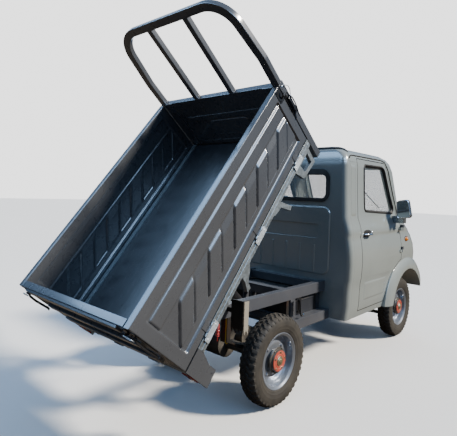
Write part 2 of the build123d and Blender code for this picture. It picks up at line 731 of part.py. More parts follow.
# Wheel arches: liner and flared lip
FLARE_ROOT_Y = 560
FLARE_MID = 36
FLARE_MID_Y = 580
arch_axle = Axis((WHEELBASE, 0, TYRE_R), (0, 1, 0))
with BuildPart() as arch_right:
    with BuildSketch(Plane((WHEELBASE, 0, TYRE_R))):
        with BuildLine():
            Polyline(
                (ARCH_R, -SILL_IN),
                (FLARE_R, -SILL_IN),
                (FLARE_R, -FLARE_ROOT_Y),
                (FLARE_R - FLARE_MID, -FLARE_MID_Y),
                (FLARE_LIP_R, -FLARE_Y),
                (ARCH_R, -FLARE_Y),
                close=True,
            )
        make_face()
    revolve(axis=arch_axle)
    add(cab_outer, mode=Mode.SUBTRACT)
    rod_y(WHEELBASE, TYRE_R, ARCH_R, (-FLARE_Y, -LINER_IN + LINER_T))
    rod_y(WHEELBASE, TYRE_R, ARCH_R - LINER_T, (-FLARE_Y, -LINER_IN), mode=Mode.SUBTRACT)
    arch_x = (WHEELBASE - FLARE_R, NOSE_X)
    slab(arch_x, (-FLARE_Y, 0), (CAB_BOTTOM, TYRE_R + FLARE_R), mode=Mode.INTERSECT)
with BuildPart() as wheel_arches:
    add(arch_right.part)
    mirror(about=Plane.XZ)
write(wheel_arches.part, "wheel_arches")

# Bumper with the two screw holes of the number plate
PLATE_HALF = 60
PLATE_Z = 475
PLATE_R = 3.5
PLATE_DEPTH = 30
BUMPER_HALF = 440
BUMPER_Z = (CAB_BOTTOM + 31, CAB_BOTTOM + 206)
BUMPER_R = 40
with BuildPart() as front_bumper:
    slab((NOSE_X - WALL, BUMPER_X), (-BUMPER_HALF, BUMPER_HALF), BUMPER_Z)
    fillet(front_bumper.edges().filter_by(Axis.Z).sort_by(Axis.X)[-2:], BUMPER_R)
    add(cab_outer, mode=Mode.SUBTRACT)
    for y in ((-BUMPER_HALF, -LINER_IN + LINER_T), (LINER_IN - LINER_T, BUMPER_HALF)):
        rod_y(WHEELBASE, TYRE_R, ARCH_R, y, mode=Mode.SUBTRACT)
    for y in (-PLATE_HALF, PLATE_HALF):
        rod_x(y, PLATE_Z, PLATE_R, (BUMPER_X - PLATE_DEPTH, BUMPER_X), mode=Mode.SUBTRACT)
write(front_bumper.part, "front_bumper")

# Head lamps lying on the nose
LAMP_REAR = NOSE_X - 235
LAMP_Y = (320, 490)
LAMP_Z = (BELT - 420, BELT - 280)
LAMP_PROUD = 10
with BuildPart() as lamp_zone:
    pair((LAMP_REAR, FAR_X), LAMP_Y, LAMP_Z)
with BuildPart() as head_lamps:
    add(cab_block(-LAMP_PROUD))
    add(cab_outer, mode=Mode.SUBTRACT)
    add(lamp_zone.part, mode=Mode.INTERSECT)
write(head_lamps.part, "head_lamps")

# Dashboard with the steering column
COLUMN_TILT = 40
WHEEL_HUB = (WHEELBASE - 440, 250, BELT - 205)
column_plane = Plane(WHEEL_HUB).rotated((0, -COLUMN_TILT, 0))
COLUMN_R = 20
COLUMN_SPAN = (-300, -22)
STUB_R = 8
STUB_SPAN = (-30, 10)
DASH_REAR = WHEELBASE - 260
DASH_HALF = 480
DASH_Z = (BELT - 230, BELT - 60)
STAY_X = (WHEEL_HUB[0] + 140, WHEEL_HUB[0] + 190)
STAY_HALF = 15
STAY_Z = (WHEEL_HUB[2] - 145, WHEEL_HUB[2] - 5)
with BuildPart() as dashboard:
    add(cab_inner)
    slab((DASH_REAR, FAR_X), (-DASH_HALF, DASH_HALF), DASH_Z, mode=Mode.INTERSECT)
    with BuildSketch(column_plane.offset(COLUMN_SPAN[0])):
        Circle(COLUMN_R)
    extrude(amount=COLUMN_SPAN[1] - COLUMN_SPAN[0])
    with BuildSketch(column_plane.offset(STUB_SPAN[0])):
        Circle(STUB_R)
    extrude(amount=STUB_SPAN[1] - STUB_SPAN[0])
    slab(STAY_X, (WHEEL_HUB[1] - STAY_HALF, WHEEL_HUB[1] + STAY_HALF), STAY_Z)
write(dashboard.part, "dashboard")

RING_R = 165
RING_TUBE = 12
BOSS_R = 38
BOSS_LOW = -21
BOSS_H = 36
BOSS_BORE = 33
SPOKE_LOW = -6
SPOKE_W = 26
SPOKE_T = 9
with BuildPart() as steering_wheel:
    with BuildSketch(Plane.XZ):
        with Locations((RING_R, 0)):
            Circle(RING_TUBE)
    revolve(axis=Axis.Z)
    with BuildSketch(Plane.XY.offset(BOSS_LOW)):
        Circle(BOSS_R)
    extrude(amount=BOSS_H)
    with BuildSketch(Plane.XY.offset(SPOKE_LOW)):
        Rectangle(SPOKE_W, 2 * RING_R)
        with Locations((-RING_R / 2, 0)):
            Rectangle(RING_R, SPOKE_W)
    extrude(amount=SPOKE_T)
    with BuildSketch(Plane.XY.offset(BOSS_LOW)):
        Circle(STUB_R + RUN_GAP)
    extrude(amount=BOSS_BORE, mode=Mode.SUBTRACT)
write(steering_wheel.part, "steering_wheel", column_plane.location)

# Bench seat
SEAT_HALF = SILL_IN - 20
SEAT_FRONT = SEAT_BOX_X[1] + 50
SEAT_REAR = SEAT_BOX_X[0] + 10
BACKREST_Z = BELT + 90
with BuildPart() as seat:
    side_prism(
        (
            (SEAT_REAR, SEAT_BOX_Z),
            (SEAT_FRONT, SEAT_BOX_Z),
            (SEAT_FRONT + 10, SEAT_BOX_Z + 120),
            (SEAT_REAR + 125, SEAT_BOX_Z + 95),
            (SEAT_REAR + 45, BACKREST_Z),
            (SEAT_REAR + 2, BACKREST_Z),
        ),
        (-SEAT_HALF, SEAT_HALF),
    )
write(seat.part, "seat")

# Bed subframe, drawn lying on the frame
BEAM_IN = 312
BEAM_OUT = 356
BEAM_LOW = RAIL_TOP + 6
BEAM_TOP = SILL_BOTTOM + 10
BED_FRONT = BED_REAR + BOARD_L
BEAM_END_R = PIVOT_Z - BEAM_LOW
SILL_FACE = BED_HALF - 3
SILL_BACK = SILL_FACE - SILL_W
CROSS_X = (PIVOT_X - 13, RAM_EYE_X - 40, RAM_BASE_X + 5, BED_FRONT - 85)
BED_CROSS_W = 80
BOARD_HINGE_X = (BED_REAR + 220, BED_REAR + 800, BED_REAR + 1354)
GATE_HINGE_Y = (-300, 0, 300)
KNUCKLE_HALF = 20
KNUCKLE_END = 40
KNUCKLE_STEP = 0.5
PIN_R = 6
LEAF_OUT = 3
LEAF_IN = 5
LEAF_H = 46
BRIDGE_H = 12
KNUCKLE_SPANS = ((-KNUCKLE_END, -KNUCKLE_HALF - KNUCKLE_STEP), (KNUCKLE_HALF + KNUCKLE_STEP, KNUCKLE_END))
EYE_LUG_Y = (24, 36)
EYE_LUG_HALF = 30
EYE_LUG_DROP = 28
CORNER_DROP = 192
CORNER_L = 92
CORNER_NECK = 125
CORNER_ROOT = 120
CORNER_T = 12


def board_knuckle(x, low, high):
    axis_y = -BED_HALF - BOARD_AXIS_OUT
    bridge = (max(low, BOARD_AXIS_Z - BRIDGE_H), min(high, BOARD_AXIS_Z + BRIDGE_H))
    rod_x(axis_y, BOARD_AXIS_Z, PIN_R, x)
    slab(x, (axis_y, -BED_HALF + LEAF_IN), bridge)
    slab(x, (-BED_HALF - LEAF_OUT, -BED_HALF + LEAF_IN), (low, high))


def gate_knuckle(y, low, high):
    axis_x = BED_REAR - BOARD_AXIS_OUT
    bridge = (max(low, BOARD_AXIS_Z - BRIDGE_H), min(high, BOARD_AXIS_Z + BRIDGE_H))
    rod_y(axis_x, BOARD_AXIS_Z, PIN_R, y)
    slab((axis_x, BED_REAR + LEAF_IN), y, bridge)
    slab((BED_REAR - LEAF_OUT, BED_REAR + LEAF_IN), y, (low, high))


with BuildPart() as bed_subframe:
    pair((PIVOT_X, BED_FRONT), (BEAM_IN, BEAM_OUT), (BEAM_LOW, BEAM_TOP))
    for y in ((BEAM_IN, BEAM_OUT), (-BEAM_OUT, -BEAM_IN)):
        rod_y(PIVOT_X, PIVOT_Z, BEAM_END_R, y)
    pair((BED_REAR, BED_FRONT + 2 * BOARD_GAP), (SILL_BACK, SILL_FACE), (SILL_BOTTOM, SILL_TOP))
    slab((BED_REAR, BED_REAR + BED_CROSS_W), (-SILL_BACK, SILL_BACK), (SILL_BOTTOM, SILL_TOP))
    for x in CROSS_X:
        slab((x, x + BED_CROSS_W), (-SILL_BACK, SILL_BACK), (SILL_BOTTOM, BED_Z))
    lug_x = (RAM_EYE_X - EYE_LUG_HALF, RAM_EYE_X + EYE_LUG_HALF)
    pair(lug_x, EYE_LUG_Y, (RAM_EYE_Z - EYE_LUG_DROP, BEAM_TOP))
    rod_y(PIVOT_X, PIVOT_Z, PIVOT_R + RUN_GAP, (-RAIL_OUT, RAIL_OUT), mode=Mode.SUBTRACT)
    for side in (-1, 1):
        side_prism(
            (
                (BED_REAR, SILL_TOP),
                (BED_REAR, BED_Z - CORNER_DROP),
                (BED_REAR + CORNER_L, BED_Z - CORNER_DROP),
                (BED_REAR + CORNER_L, BED_Z - CORNER_NECK),
                (BED_REAR + CORNER_ROOT, SILL_BOTTOM),
                (BED_REAR + CORNER_ROOT, SILL_TOP),
            ),
            sorted((side * (SILL_FACE - CORNER_T), side * SILL_FACE)),
        )
    for span in KNUCKLE_SPANS:
        for x in BOARD_HINGE_X:
            board_knuckle((x + span[0], x + span[1]), BOARD_AXIS_Z - LEAF_H, BOARD_AXIS_Z)
        for y in GATE_HINGE_Y:
            gate_knuckle((y + span[0], y + span[1]), BOARD_AXIS_Z - LEAF_H, BOARD_AXIS_Z)
    mirror(about=Plane.XZ)
write(bed_subframe.part, "bed_subframe", tipped)

# Brackets under the sills: an open hook at the front, an angled stop and a bent strap
BRACKET_Y = (BED_HALF - 38, BED_HALF - 12)
HOOK_OUTER = ((1297, -54), (1520, -54), (1512, -183), (1344, -163))
HOOK_INNER = ((1374, -76), (1486, -76), (1478, -152), (1380, -140))
STOP_OUTLINE = ((962, -54), (1068, -54), (1127, -170), (1098, -179), (1050, -90), (976, -78))
STRAP_OUTLINE = ((549, -54), (654, -54), (618, -93), (560, -126), (546, -166), (515, -158), (545, -100))
under_bed = Pos(BED_REAR, 0, BED_Z)
with BuildPart() as hook_right:
    side_prism(HOOK_OUTER, (-BRACKET_Y[1], -BRACKET_Y[0]))
    side_prism(HOOK_INNER, (-BRACKET_Y[1], -BRACKET_Y[0]), mode=Mode.SUBTRACT)
with BuildPart() as bed_brackets:
    add(hook_right.part)
    side_prism(STOP_OUTLINE, (-BRACKET_Y[1], -BRACKET_Y[0]))
    side_prism(STRAP_OUTLINE, (-BRACKET_Y[1], -BRACKET_Y[0]))
    mirror(about=Plane.XZ)
write(bed_brackets.part, "bed_brackets", tipped * under_bed)

FLOOR_X = (BED_REAR + BOARD_T + 7, BED_FRONT - 6)
FLOOR_TOP_Z = BED_Z + FLOOR_T
STRIP_W = 32
STRIP_T = 8
STRIP_IN = SILL_BACK - STRIP_W
with BuildPart() as bed_floor:
    slab(FLOOR_X, (-STRIP_IN, STRIP_IN), (BED_Z, FLOOR_TOP_Z))
write(bed_floor.part, "bed_floor", tipped)

with BuildPart() as floor_strips:
    pair(FLOOR_X, (STRIP_IN, SILL_BACK), (BED_Z, FLOOR_TOP_Z + STRIP_T))
write(floor_strips.part, "floor_strips", tipped)

# Headboard with its corner posts and pressings
BED_TOP = BED_Z + BOARD_H
POST_U = (BED_FRONT + 2 * BOARD_GAP, BED_FRONT + 60)
POST_DROP = 175
HOOP_T = 40
HEAD_T = 24
HEAD_RAIL_H = 36
PILASTER_Y = (SILL_BACK - 77, SILL_BACK)
PILASTER_RISE = 9
HEAD_BAR_HALF = 350
HEAD_BAR_ROWS = ((20, 50), (243, 281))
HEAD_FIELD_HALF = 185
HEAD_FIELD_Z = (BED_Z + 100, BED_Z + 230)
HEAD_FIELD_R = 45
HEAD_RISE = 7
HEAD_TAPER = 35
head_plane = Plane((POST_U[0], 0, 0), x_dir=(0, 1, 0), z_dir=(-1, 0, 0))
with BuildPart() as headboard:
    pair(POST_U, (SILL_BACK, BED_HALF), (BED_Z - POST_DROP, BED_TOP))
    slab((POST_U[0], POST_U[0] + HEAD_T), (-SILL_BACK, SILL_BACK), (SILL_BOTTOM, BED_TOP))
    slab((POST_U[0], POST_U[0] + HOOP_T), (-SILL_BACK, SILL_BACK), (BED_TOP - HEAD_RAIL_H, BED_TOP))
    pair((POST_U[0] - PILASTER_RISE, POST_U[0]), PILASTER_Y, (FLOOR_TOP_Z, BED_TOP))
    for low, high in HEAD_BAR_ROWS:
        bar_x = (POST_U[0] - HEAD_RISE, POST_U[0])
        slab(bar_x, (-HEAD_BAR_HALF, HEAD_BAR_HALF), (BED_Z + low, BED_Z + high))
    with BuildSketch(head_plane):
        with Locations((0, -sum(HEAD_FIELD_Z) / 2)):
            RectangleRounded(2 * HEAD_FIELD_HALF, HEAD_FIELD_Z[1] - HEAD_FIELD_Z[0], HEAD_FIELD_R)
    extrude(amount=HEAD_RISE, taper=HEAD_TAPER)
write(headboard.part, "headboard", tipped)

# Cab guard hoop with two bars
HOOP_TOP = BED_Z + 1002
HOOP_KINK = BED_Z + 600
HOOP_TUBE = 50
HOOP_TOP_HALF = 478
HOOP_TURNS = [120, 200, 200, 120]
HOOP_IN_TURNS = [120, 150, 150, 120]
HOOP_SET = 4
BAR_Y = 160
BAR_W = 38
BAR_TOP = HOOP_TOP - HOOP_TUBE / 2
with BuildPart() as cab_guard:
    with BuildSketch(Plane.YZ.offset(POST_U[0] + HOOP_SET)):
        with BuildLine():
            FilletPolyline(
                (-BED_HALF, BED_TOP),
                (-BED_HALF, HOOP_KINK),
                (-HOOP_TOP_HALF, HOOP_TOP),
                (HOOP_TOP_HALF, HOOP_TOP),
                (BED_HALF, HOOP_KINK),
                (BED_HALF, BED_TOP),
                radius=HOOP_TURNS,
            )
            Line((BED_HALF, BED_TOP), (-BED_HALF, BED_TOP))
        make_face()
        with BuildLine():
            FilletPolyline(
                (-BED_HALF + HOOP_TUBE, BED_TOP),
                (-BED_HALF + HOOP_TUBE, HOOP_KINK),
                (-HOOP_TOP_HALF + HOOP_TUBE, HOOP_TOP - HOOP_TUBE),
                (HOOP_TOP_HALF - HOOP_TUBE, HOOP_TOP - HOOP_TUBE),
                (BED_HALF - HOOP_TUBE, HOOP_KINK),
                (BED_HALF - HOOP_TUBE, BED_TOP),
                radius=HOOP_IN_TURNS,
            )
            Line((BED_HALF - HOOP_TUBE, BED_TOP), (-BED_HALF + HOOP_TUBE, BED_TOP))
        make_face(mode=Mode.SUBTRACT)
        for y in (-BAR_Y, BAR_Y):
            with Locations((y, (BED_TOP + BAR_TOP) / 2)):
                Rectangle(BAR_W, BAR_TOP - BED_TOP)
    extrude(amount=HOOP_T - HOOP_SET)
write(cab_guard.part, "cab_guard", tipped)

TAIL_X = (BED_REAR - 4, BED_REAR + 30)
TAIL_Y = (BED_HALF - 75, SILL_FACE - CORNER_T)
TAIL_Z = (BED_Z - 130, SILL_BOTTOM - 4)
with BuildPart() as tail_lamps:
    pair(TAIL_X, TAIL_Y, TAIL_Z)
write(tail_lamps.part, "tail_lamps", tipped)

# Drop boards: sunk panel, raised field and a row of leaning pads, the same shapes sunk on the inside
BOARD_LOW = BED_Z + 3
PANEL_ENDS = (BED_REAR + 69, BED_FRONT - 65)
PANEL_W = (BED_Z + 50, BED_TOP - 63)
PANEL_OUT = 12
PANEL_IN = 9
PANEL_EDGE = 6
FIELD_X = (PANEL_ENDS[0] + PANEL_EDGE, PANEL_ENDS[1] - PANEL_EDGE)
FIELD_Z = (BED_Z + 262, BED_Z + 338)
FIELD_RISE = 8
FIELD_SINK = 4
PAD_PITCH = 140
PAD_W = 134
PAD_LEAN = 1.075
PAD_Z = (BED_Z + 88, BED_Z + 254)
PAD_START = BED_REAR + 55
PAD_COUNT = 10
PAD_EDGE = 5
PAD_COLUMNS = ("first", "face_top", "rise", "sink")
PAD_ROWS = (
    (0, BED_Z + 238, 11, 6),
    (1, BED_Z + 212, 8, 4),
)


def pad_outline(plane, foot, low, high, edge):
    lean_low = (low - PAD_Z[0]) * PAD_LEAN
    lean_high = (high - PAD_Z[0]) * PAD_LEAN
    with BuildSketch(plane) as outline:
        with BuildLine():
            Polyline(
                (foot + edge + lean_low, low),
                (foot + PAD_W - edge + lean_low, low),
                (foot + PAD_W - edge + lean_high, high),
                (foot + edge + lean_high, high),
                close=True,
            )
        make_face()
    return outline.sketch


def leaning_pads(plane, height):
    with BuildPart() as pads:
        for row in PAD_ROWS:
            pad = dict(zip(PAD_COLUMNS, row))
            for count in range(pad["first"], PAD_COUNT, 2):
                foot = PAD_START + count * PAD_PITCH
                base = pad_outline(plane, foot, PAD_Z[0], PAD_Z[1], 0)
                face_plane = plane.offset(pad[height])
                face = pad_outline(face_plane, foot, PAD_Z[0] + PAD_EDGE, pad["face_top"], PAD_EDGE)
                loft((base, face), ruled=True)
        slab(FIELD_X, (-BED_HALF, -BED_HALF + BOARD_T), PANEL_W, mode=Mode.INTERSECT)
    return pads.part


outer_plane = Plane.XZ.offset(BED_HALF - PANEL_OUT)
inner_plane = Plane.XZ.offset(BED_HALF - BOARD_T + PANEL_IN)
with BuildPart() as side_board_right:
    slab((BED_REAR, BED_FRONT), (-BED_HALF, -BED_HALF + BOARD_T), (BOARD_LOW, BED_TOP))
    slab(PANEL_ENDS, (-BED_HALF, -BED_HALF + PANEL_OUT), PANEL_W, mode=Mode.SUBTRACT)
    inner_face = -BED_HALF + BOARD_T
    slab(PANEL_ENDS, (inner_face - PANEL_IN, inner_face), PANEL_W, mode=Mode.SUBTRACT)
    field_base = -BED_HALF + PANEL_OUT
    slab(FIELD_X, (field_base - FIELD_RISE, field_base), FIELD_Z)
    slab(FIELD_X, (inner_face - PANEL_IN - FIELD_SINK, inner_face), FIELD_Z, mode=Mode.SUBTRACT)
    add(leaning_pads(outer_plane, "rise"))
    add(leaning_pads(inner_plane, "sink"), mode=Mode.SUBTRACT)
    for x in BOARD_HINGE_X:
        board_knuckle((x - KNUCKLE_HALF, x + KNUCKLE_HALF), BOARD_AXIS_Z, BOARD_AXIS_Z + LEAF_H)
write(side_board_right.part, "side_board_right", tipped)

with BuildPart() as side_board_left:
    mirror(side_board_right.part, about=Plane.XZ)
write(side_board_left.part, "side_board_left", tipped)

GATE_HALF = BED_HALF - BOARD_T - BOARD_GAP
GATE_PANEL_HALF = GATE_HALF - 60
GATE_PANEL_Z = (BED_Z + 40, BED_TOP - 70)
GATE_RIB_HALF = GATE_HALF - 50
GATE_RIB_ROWS = ((62, 102), (205, 245), (366, 412))
GATE_SINK = 9
with BuildPart() as tailgate:
    slab((BED_REAR, BED_REAR + BOARD_T), (-GATE_HALF, GATE_HALF), (BOARD_LOW, BED_TOP))
    for x in ((BED_REAR, BED_REAR + GATE_SINK), (BED_REAR + BOARD_T - GATE_SINK, BED_REAR + BOARD_T)):
        slab(x, (-GATE_PANEL_HALF, GATE_PANEL_HALF), GATE_PANEL_Z, mode=Mode.SUBTRACT)
    for low, high in GATE_RIB_ROWS:
        rib_x = (BED_REAR - GATE_RIB, BED_REAR + GATE_SINK)
        slab(rib_x, (-GATE_RIB_HALF, GATE_RIB_HALF), (BED_Z + low, BED_Z + high))
    for y in GATE_HINGE_Y:
        gate_knuckle((y - KNUCKLE_HALF, y + KNUCKLE_HALF), BOARD_AXIS_Z, BOARD_AXIS_Z + LEAF_H)
write(tailgate.part, "tailgate", tipped)

# Mud flaps behind the rear wheels, each on a stay from the rail
FLAP_X = (-326, -318)
FLAP_CLEAR = 6
FLAP_Y = (398, BRACKET_Y[0] - FLAP_CLEAR)
FLAP_Z = (515, 672)
FLAP_STAY_T = 18
FLAP_STAY_Z = (RAIL_TOP - 34, RAIL_TOP - 8)
with BuildPart() as mud_flaps:
    pair(FLAP_X, FLAP_Y, FLAP_Z)
    pair((FLAP_X[1], FLAP_X[1] + FLAP_STAY_T), (RAIL_OUT, FLAP_Y[1]), FLAP_STAY_Z)
write(mud_flaps.part, "mud_flaps")

# Tipping cylinder, drawn along its own axis from the base eye, in the raised place
raised_eye = (tipped * Pos(RAM_EYE_X, 0, RAM_EYE_Z)).position
RAM_REACH = hypot(raised_eye.X - RAM_BASE_X, raised_eye.Z - RAM_BASE_Z)
ram_rise = degrees(atan2(raised_eye.Z - RAM_BASE_Z, raised_eye.X - RAM_BASE_X))
ram_place = Pos(RAM_BASE_X, 0, RAM_BASE_Z) * Rot(0, -ram_rise, 0)
BASE_EYE_R = 26
BASE_EYE_HALF = 20
NECK_L = 70
NECK_HALF = 18
BARREL_START = 60
BORE_START = 66
with BuildPart() as tip_cylinder:
    rod_y(0, 0, BASE_EYE_R, (-BASE_EYE_HALF, BASE_EYE_HALF))
    slab((0, NECK_L), (-NECK_HALF, NECK_HALF), (-NECK_HALF, NECK_HALF))
    rod_x(0, 0, RAM_R, (BARREL_START, RAM_L))
    rod_x(0, 0, RAM_ROD_R + RUN_GAP, (BORE_START, RAM_L), mode=Mode.SUBTRACT)
    rod_y(0, 0, LUG_PIN_R + RUN_GAP, (-LUG_IN, LUG_IN), mode=Mode.SUBTRACT)
write(tip_cylinder.part, "tip_cylinder", ram_place)

ROD_EYE_HALF = 15
EYE_PIN_R = 10
EYE_PIN_HALF = 22
with BuildPart() as tip_rod:
    rod_x(0, 0, RAM_ROD_R, (RAM_ROD_IN, RAM_REACH))
    rod_y(RAM_REACH, 0, RAM_EYE_R, (-ROD_EYE_HALF, ROD_EYE_HALF))
    rod_y(RAM_REACH, 0, EYE_PIN_R, (-EYE_PIN_HALF, EYE_PIN_HALF))
write(tip_rod.part, "tip_rod", ram_place)
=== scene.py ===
import json
from math import cos, exp, pi, radians, sin, sqrt

import bmesh
import bpy
from mathutils import Matrix, Vector


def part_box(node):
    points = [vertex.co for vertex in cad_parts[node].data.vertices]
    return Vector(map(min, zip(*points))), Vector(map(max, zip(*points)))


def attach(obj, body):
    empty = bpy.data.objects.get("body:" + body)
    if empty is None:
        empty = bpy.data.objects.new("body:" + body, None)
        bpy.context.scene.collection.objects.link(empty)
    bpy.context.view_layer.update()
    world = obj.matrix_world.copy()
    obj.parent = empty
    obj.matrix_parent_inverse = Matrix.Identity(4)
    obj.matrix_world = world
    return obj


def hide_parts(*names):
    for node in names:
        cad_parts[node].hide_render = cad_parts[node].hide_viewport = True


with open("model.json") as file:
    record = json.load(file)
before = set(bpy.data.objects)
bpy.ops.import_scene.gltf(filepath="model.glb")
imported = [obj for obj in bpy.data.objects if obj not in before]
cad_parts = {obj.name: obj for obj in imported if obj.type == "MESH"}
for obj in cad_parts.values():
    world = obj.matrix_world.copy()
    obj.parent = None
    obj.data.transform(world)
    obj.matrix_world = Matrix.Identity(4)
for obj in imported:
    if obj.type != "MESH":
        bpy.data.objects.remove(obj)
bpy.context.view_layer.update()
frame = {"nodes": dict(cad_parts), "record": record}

SCENE = bpy.context.scene
UP = Vector((0, 0, 1))
SIDES = (("left", 1), ("right", -1))

# Places: AXLE is the rear axle, from which the vehicle is measured; bed() gives points of the tipped bed
AXLE = sum(c.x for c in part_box("tyre_rear_left")) / 2
WHEELBASE = 1.910
WHEEL_Y = 0.466
TYRE_R = 0.270
TIP = radians(50.86)
PIVOT = (-0.487, 0.653)
BED_REAR = -0.845
BED_Z = 0.740
BED_HALF = 0.530
BOARD_H = 0.421
BED_L = 1.530


def mm(*rows):
    """Rows given in millimetres, in metres."""
    return tuple(tuple(v / 1000 for v in row) for row in rows)


def at(x, y, z):
    return Vector((x + AXLE, y, z))


def bed(u, y, w):
    dx = BED_REAR + u - PIVOT[0]
    dz = BED_Z + w - PIVOT[1]
    return at(PIVOT[0] + dx * cos(TIP) - dz * sin(TIP), y, PIVOT[1] + dx * sin(TIP) + dz * cos(TIP))


# Camera at the photo's viewing angle
CAM_AT = at(-2.1474, -1.9846, 1.2632)
CAM_RIGHT = Vector((0.66848, -0.74279, 0.03734))
CAM_UP = Vector((-0.02991, 0.02332, 0.99928))
CAM_AHEAD = Vector((0.74313, 0.66912, 0.00663))
IMAGE_W = 457
IMAGE_H = 436
FOCAL_PX = 430.73
HORIZON_PX = 190
lens = bpy.data.cameras.new("camera")
lens.sensor_fit = "HORIZONTAL"
lens.sensor_width = 36
lens.lens = FOCAL_PX * lens.sensor_width / IMAGE_W
lens.shift_y = (HORIZON_PX - IMAGE_H / 2) / IMAGE_W
lens.clip_start = 0.05
lens.clip_end = 100
camera = bpy.data.objects.new("camera", lens)
SCENE.collection.objects.link(camera)
turn = Matrix((CAM_RIGHT, CAM_UP, -CAM_AHEAD)).transposed().to_4x4()
camera.matrix_world = Matrix.Translation(CAM_AT) @ turn
SCENE.camera = camera


# Materials
def tone(r, g, b):
    """A colour from its screen values, 0 to 255."""
    def line(v):
        v /= 255
        return v / 12.92 if v <= 0.04045 else ((v + 0.055) / 1.055) ** 2.4

    return (line(r), line(g), line(b), 1)


class Net:
    """A node material or sky under making, measured in the piece's own metres."""

    def __init__(self, name, home=bpy.data.materials, skin="Principled BSDF"):
        self.mat = home.new(name)
        self.mat.use_nodes = True
        self.tree = self.mat.node_tree
        self.skin = self.tree.nodes[skin]
        self.coord = self.tree.nodes.new("ShaderNodeTexCoord")
        self.place = self.coord.outputs["Object"]

    def node(self, kind, values=None, **props):
        made = self.tree.nodes.new("ShaderNode" + kind)
        for key, value in props.items():
            setattr(made, key, value)
        for key, value in (values or {}).items():
            self.give(made.inputs[key], value)
        return made

    def give(self, socket, value):
        if isinstance(value, bpy.types.NodeSocket):
            self.tree.links.new(value, socket)
        else:
            socket.default_value = value

    def set(self, **values):
        for key, value in values.items():
            self.give(self.skin.inputs[key.replace("_", " ")], value)

    def stretch(self, x, y, z):
        return self.node("Mapping", {"Vector": self.place, "Scale": (x, y, z)}).outputs[0]

    def noise(self, scale, detail=3, rough=0.55, place=None):
        values = {"Vector": place or self.place, "Scale": scale, "Detail": detail, "Roughness": rough}
        return self.node("TexNoise", values).outputs["Fac"]

    def cells(self, scale):
        made = self.node("TexVoronoi", {"Vector": self.place, "Scale": scale})
        return self.node("SeparateColor", {"Color": made.outputs["Color"]}).outputs[0]

    def band(self, value, low, high, to_low=0.0, to_high=1.0):
        values = {"Value": value, "From Min": low, "From Max": high, "To Min": to_low, "To Max": to_high}
        return self.node("MapRange", values).outputs[0]

    def calc(self, how, a, b, c=0.0):
        return self.node("Math", {0: a, 1: b, 2: c}, operation=how).outputs[0]

    def mix(self, share, a, b):
        made = self.node("Mix", data_type="RGBA")
        self.give(made.inputs[0], share)
        self.give(made.inputs[6], a)
        self.give(made.inputs[7], b)
        return made.outputs[2]

    def upward(self):
        parts = self.node("SeparateXYZ", {"Vector": self.coord.outputs["Normal"]})
        return self.band(parts.outputs[2], 0.15, 0.95)

    def height(self, low, high):
        parts = self.node("SeparateXYZ", {"Vector": self.place})
        return self.band(parts.outputs[2], low, high)

    def bump(self, value, depth, strength=1.0):
        made = self.node("Bump", {"Height": value, "Distance": depth, "Strength": strength})
        self.give(self.skin.inputs["Normal"], made.outputs[0])

    def for_camera(self, seen, others):
        """The camera sees one shader, and all other light the other."""
        goal = self.skin.outputs[0].links[0].to_socket
        ray = self.node("LightPath").outputs["Is Camera Ray"]
        blend = self.node("MixShader", {0: ray, 1: others.outputs[0], 2: seen.outputs[0]})
        self.give(goal, blend.outputs[0])


DUST = tone(150, 138, 118)


def shaded(colour, share):
    return tuple(min(1, c * share) for c in colour[:3]) + (1,)


def paint(net, colour, rough, vary, dust, low=0.0, coat=0.0, metal=0.0):
    """Sprayed metal: cloudy tone, orange peel, dust lying on top and splashed low down."""
    cloud = net.noise(2.6, 5)
    fine = net.noise(24, 3)
    skin = net.mix(net.band(cloud, 0.35, 0.65), shaded(colour, 1 - vary), shaded(colour, 1 + vary))
    grime = net.noise(9, 7, 0.7)
    lying = net.calc("MULTIPLY", net.upward(), net.band(grime, 0.4, 0.75, 0, dust))
    if low:
        splash = net.calc("MULTIPLY", net.height(0.95, 0.3), net.band(grime, 0.35, 0.7, 0, low))
        lying = net.calc("MAXIMUM", lying, splash)
    skin = net.mix(lying, skin, DUST)
    net.set(Base_Color=skin, Metallic=metal, Coat_Weight=coat, Coat_Roughness=0.12)
    gloss = net.calc("MULTIPLY_ADD", fine, 0.08, rough - 0.04)
    net.set(Roughness=net.calc("ADD", gloss, net.calc("MULTIPLY", lying, 0.5)))
    net.bump(net.noise(180, 1), 0.00003, 0.5)


def floor_coat(net, colour):
    """Dark sheet steel: long scuffs, pale specks of grit, a dull bloom."""
    bloom = net.noise(3.2, 6, 0.6)
    scuff = net.noise(5, 6, 0.7, net.stretch(2.2, 9, 2.2))
    grit = net.noise(130, 2, 0.6)
    skin = net.mix(net.band(bloom, 0.35, 0.7), shaded(colour, 0.75), colour)
    skin = net.mix(net.band(scuff, 0.55, 0.8, 0, 0.22), skin, tone(120, 124, 128))
    speck = net.calc("MULTIPLY", net.band(grit, 0.66, 0.74), net.band(bloom, 0.45, 0.7, 0, 0.5))
    net.set(Base_Color=net.mix(speck, skin, tone(190, 186, 176)), Coat_Weight=0.35)
    net.set(Roughness=net.band(scuff, 0.3, 0.75, 0.26, 0.5), Coat_Roughness=0.2)
    net.bump(net.noise(220, 2), 0.00008, 0.8)


def galvanised(net, colour, spangle=110, rough=0.42):
    """Zinc: crystal spangle, dull streaks."""
    crystal = net.cells(spangle)
    dull = net.noise(6, 5, 0.65)
    skin = net.mix(crystal, shaded(colour, 0.8), colour)
    skin = net.mix(net.band(dull, 0.45, 0.7, 0, 0.5), skin, tone(112, 112, 108))
    net.set(Base_Color=skin, Metallic=0.75)
    net.set(Roughness=net.band(crystal, 0, 1, rough - 0.08, rough + 0.14))
    net.bump(net.noise(160, 3), 0.00010, 0.8)


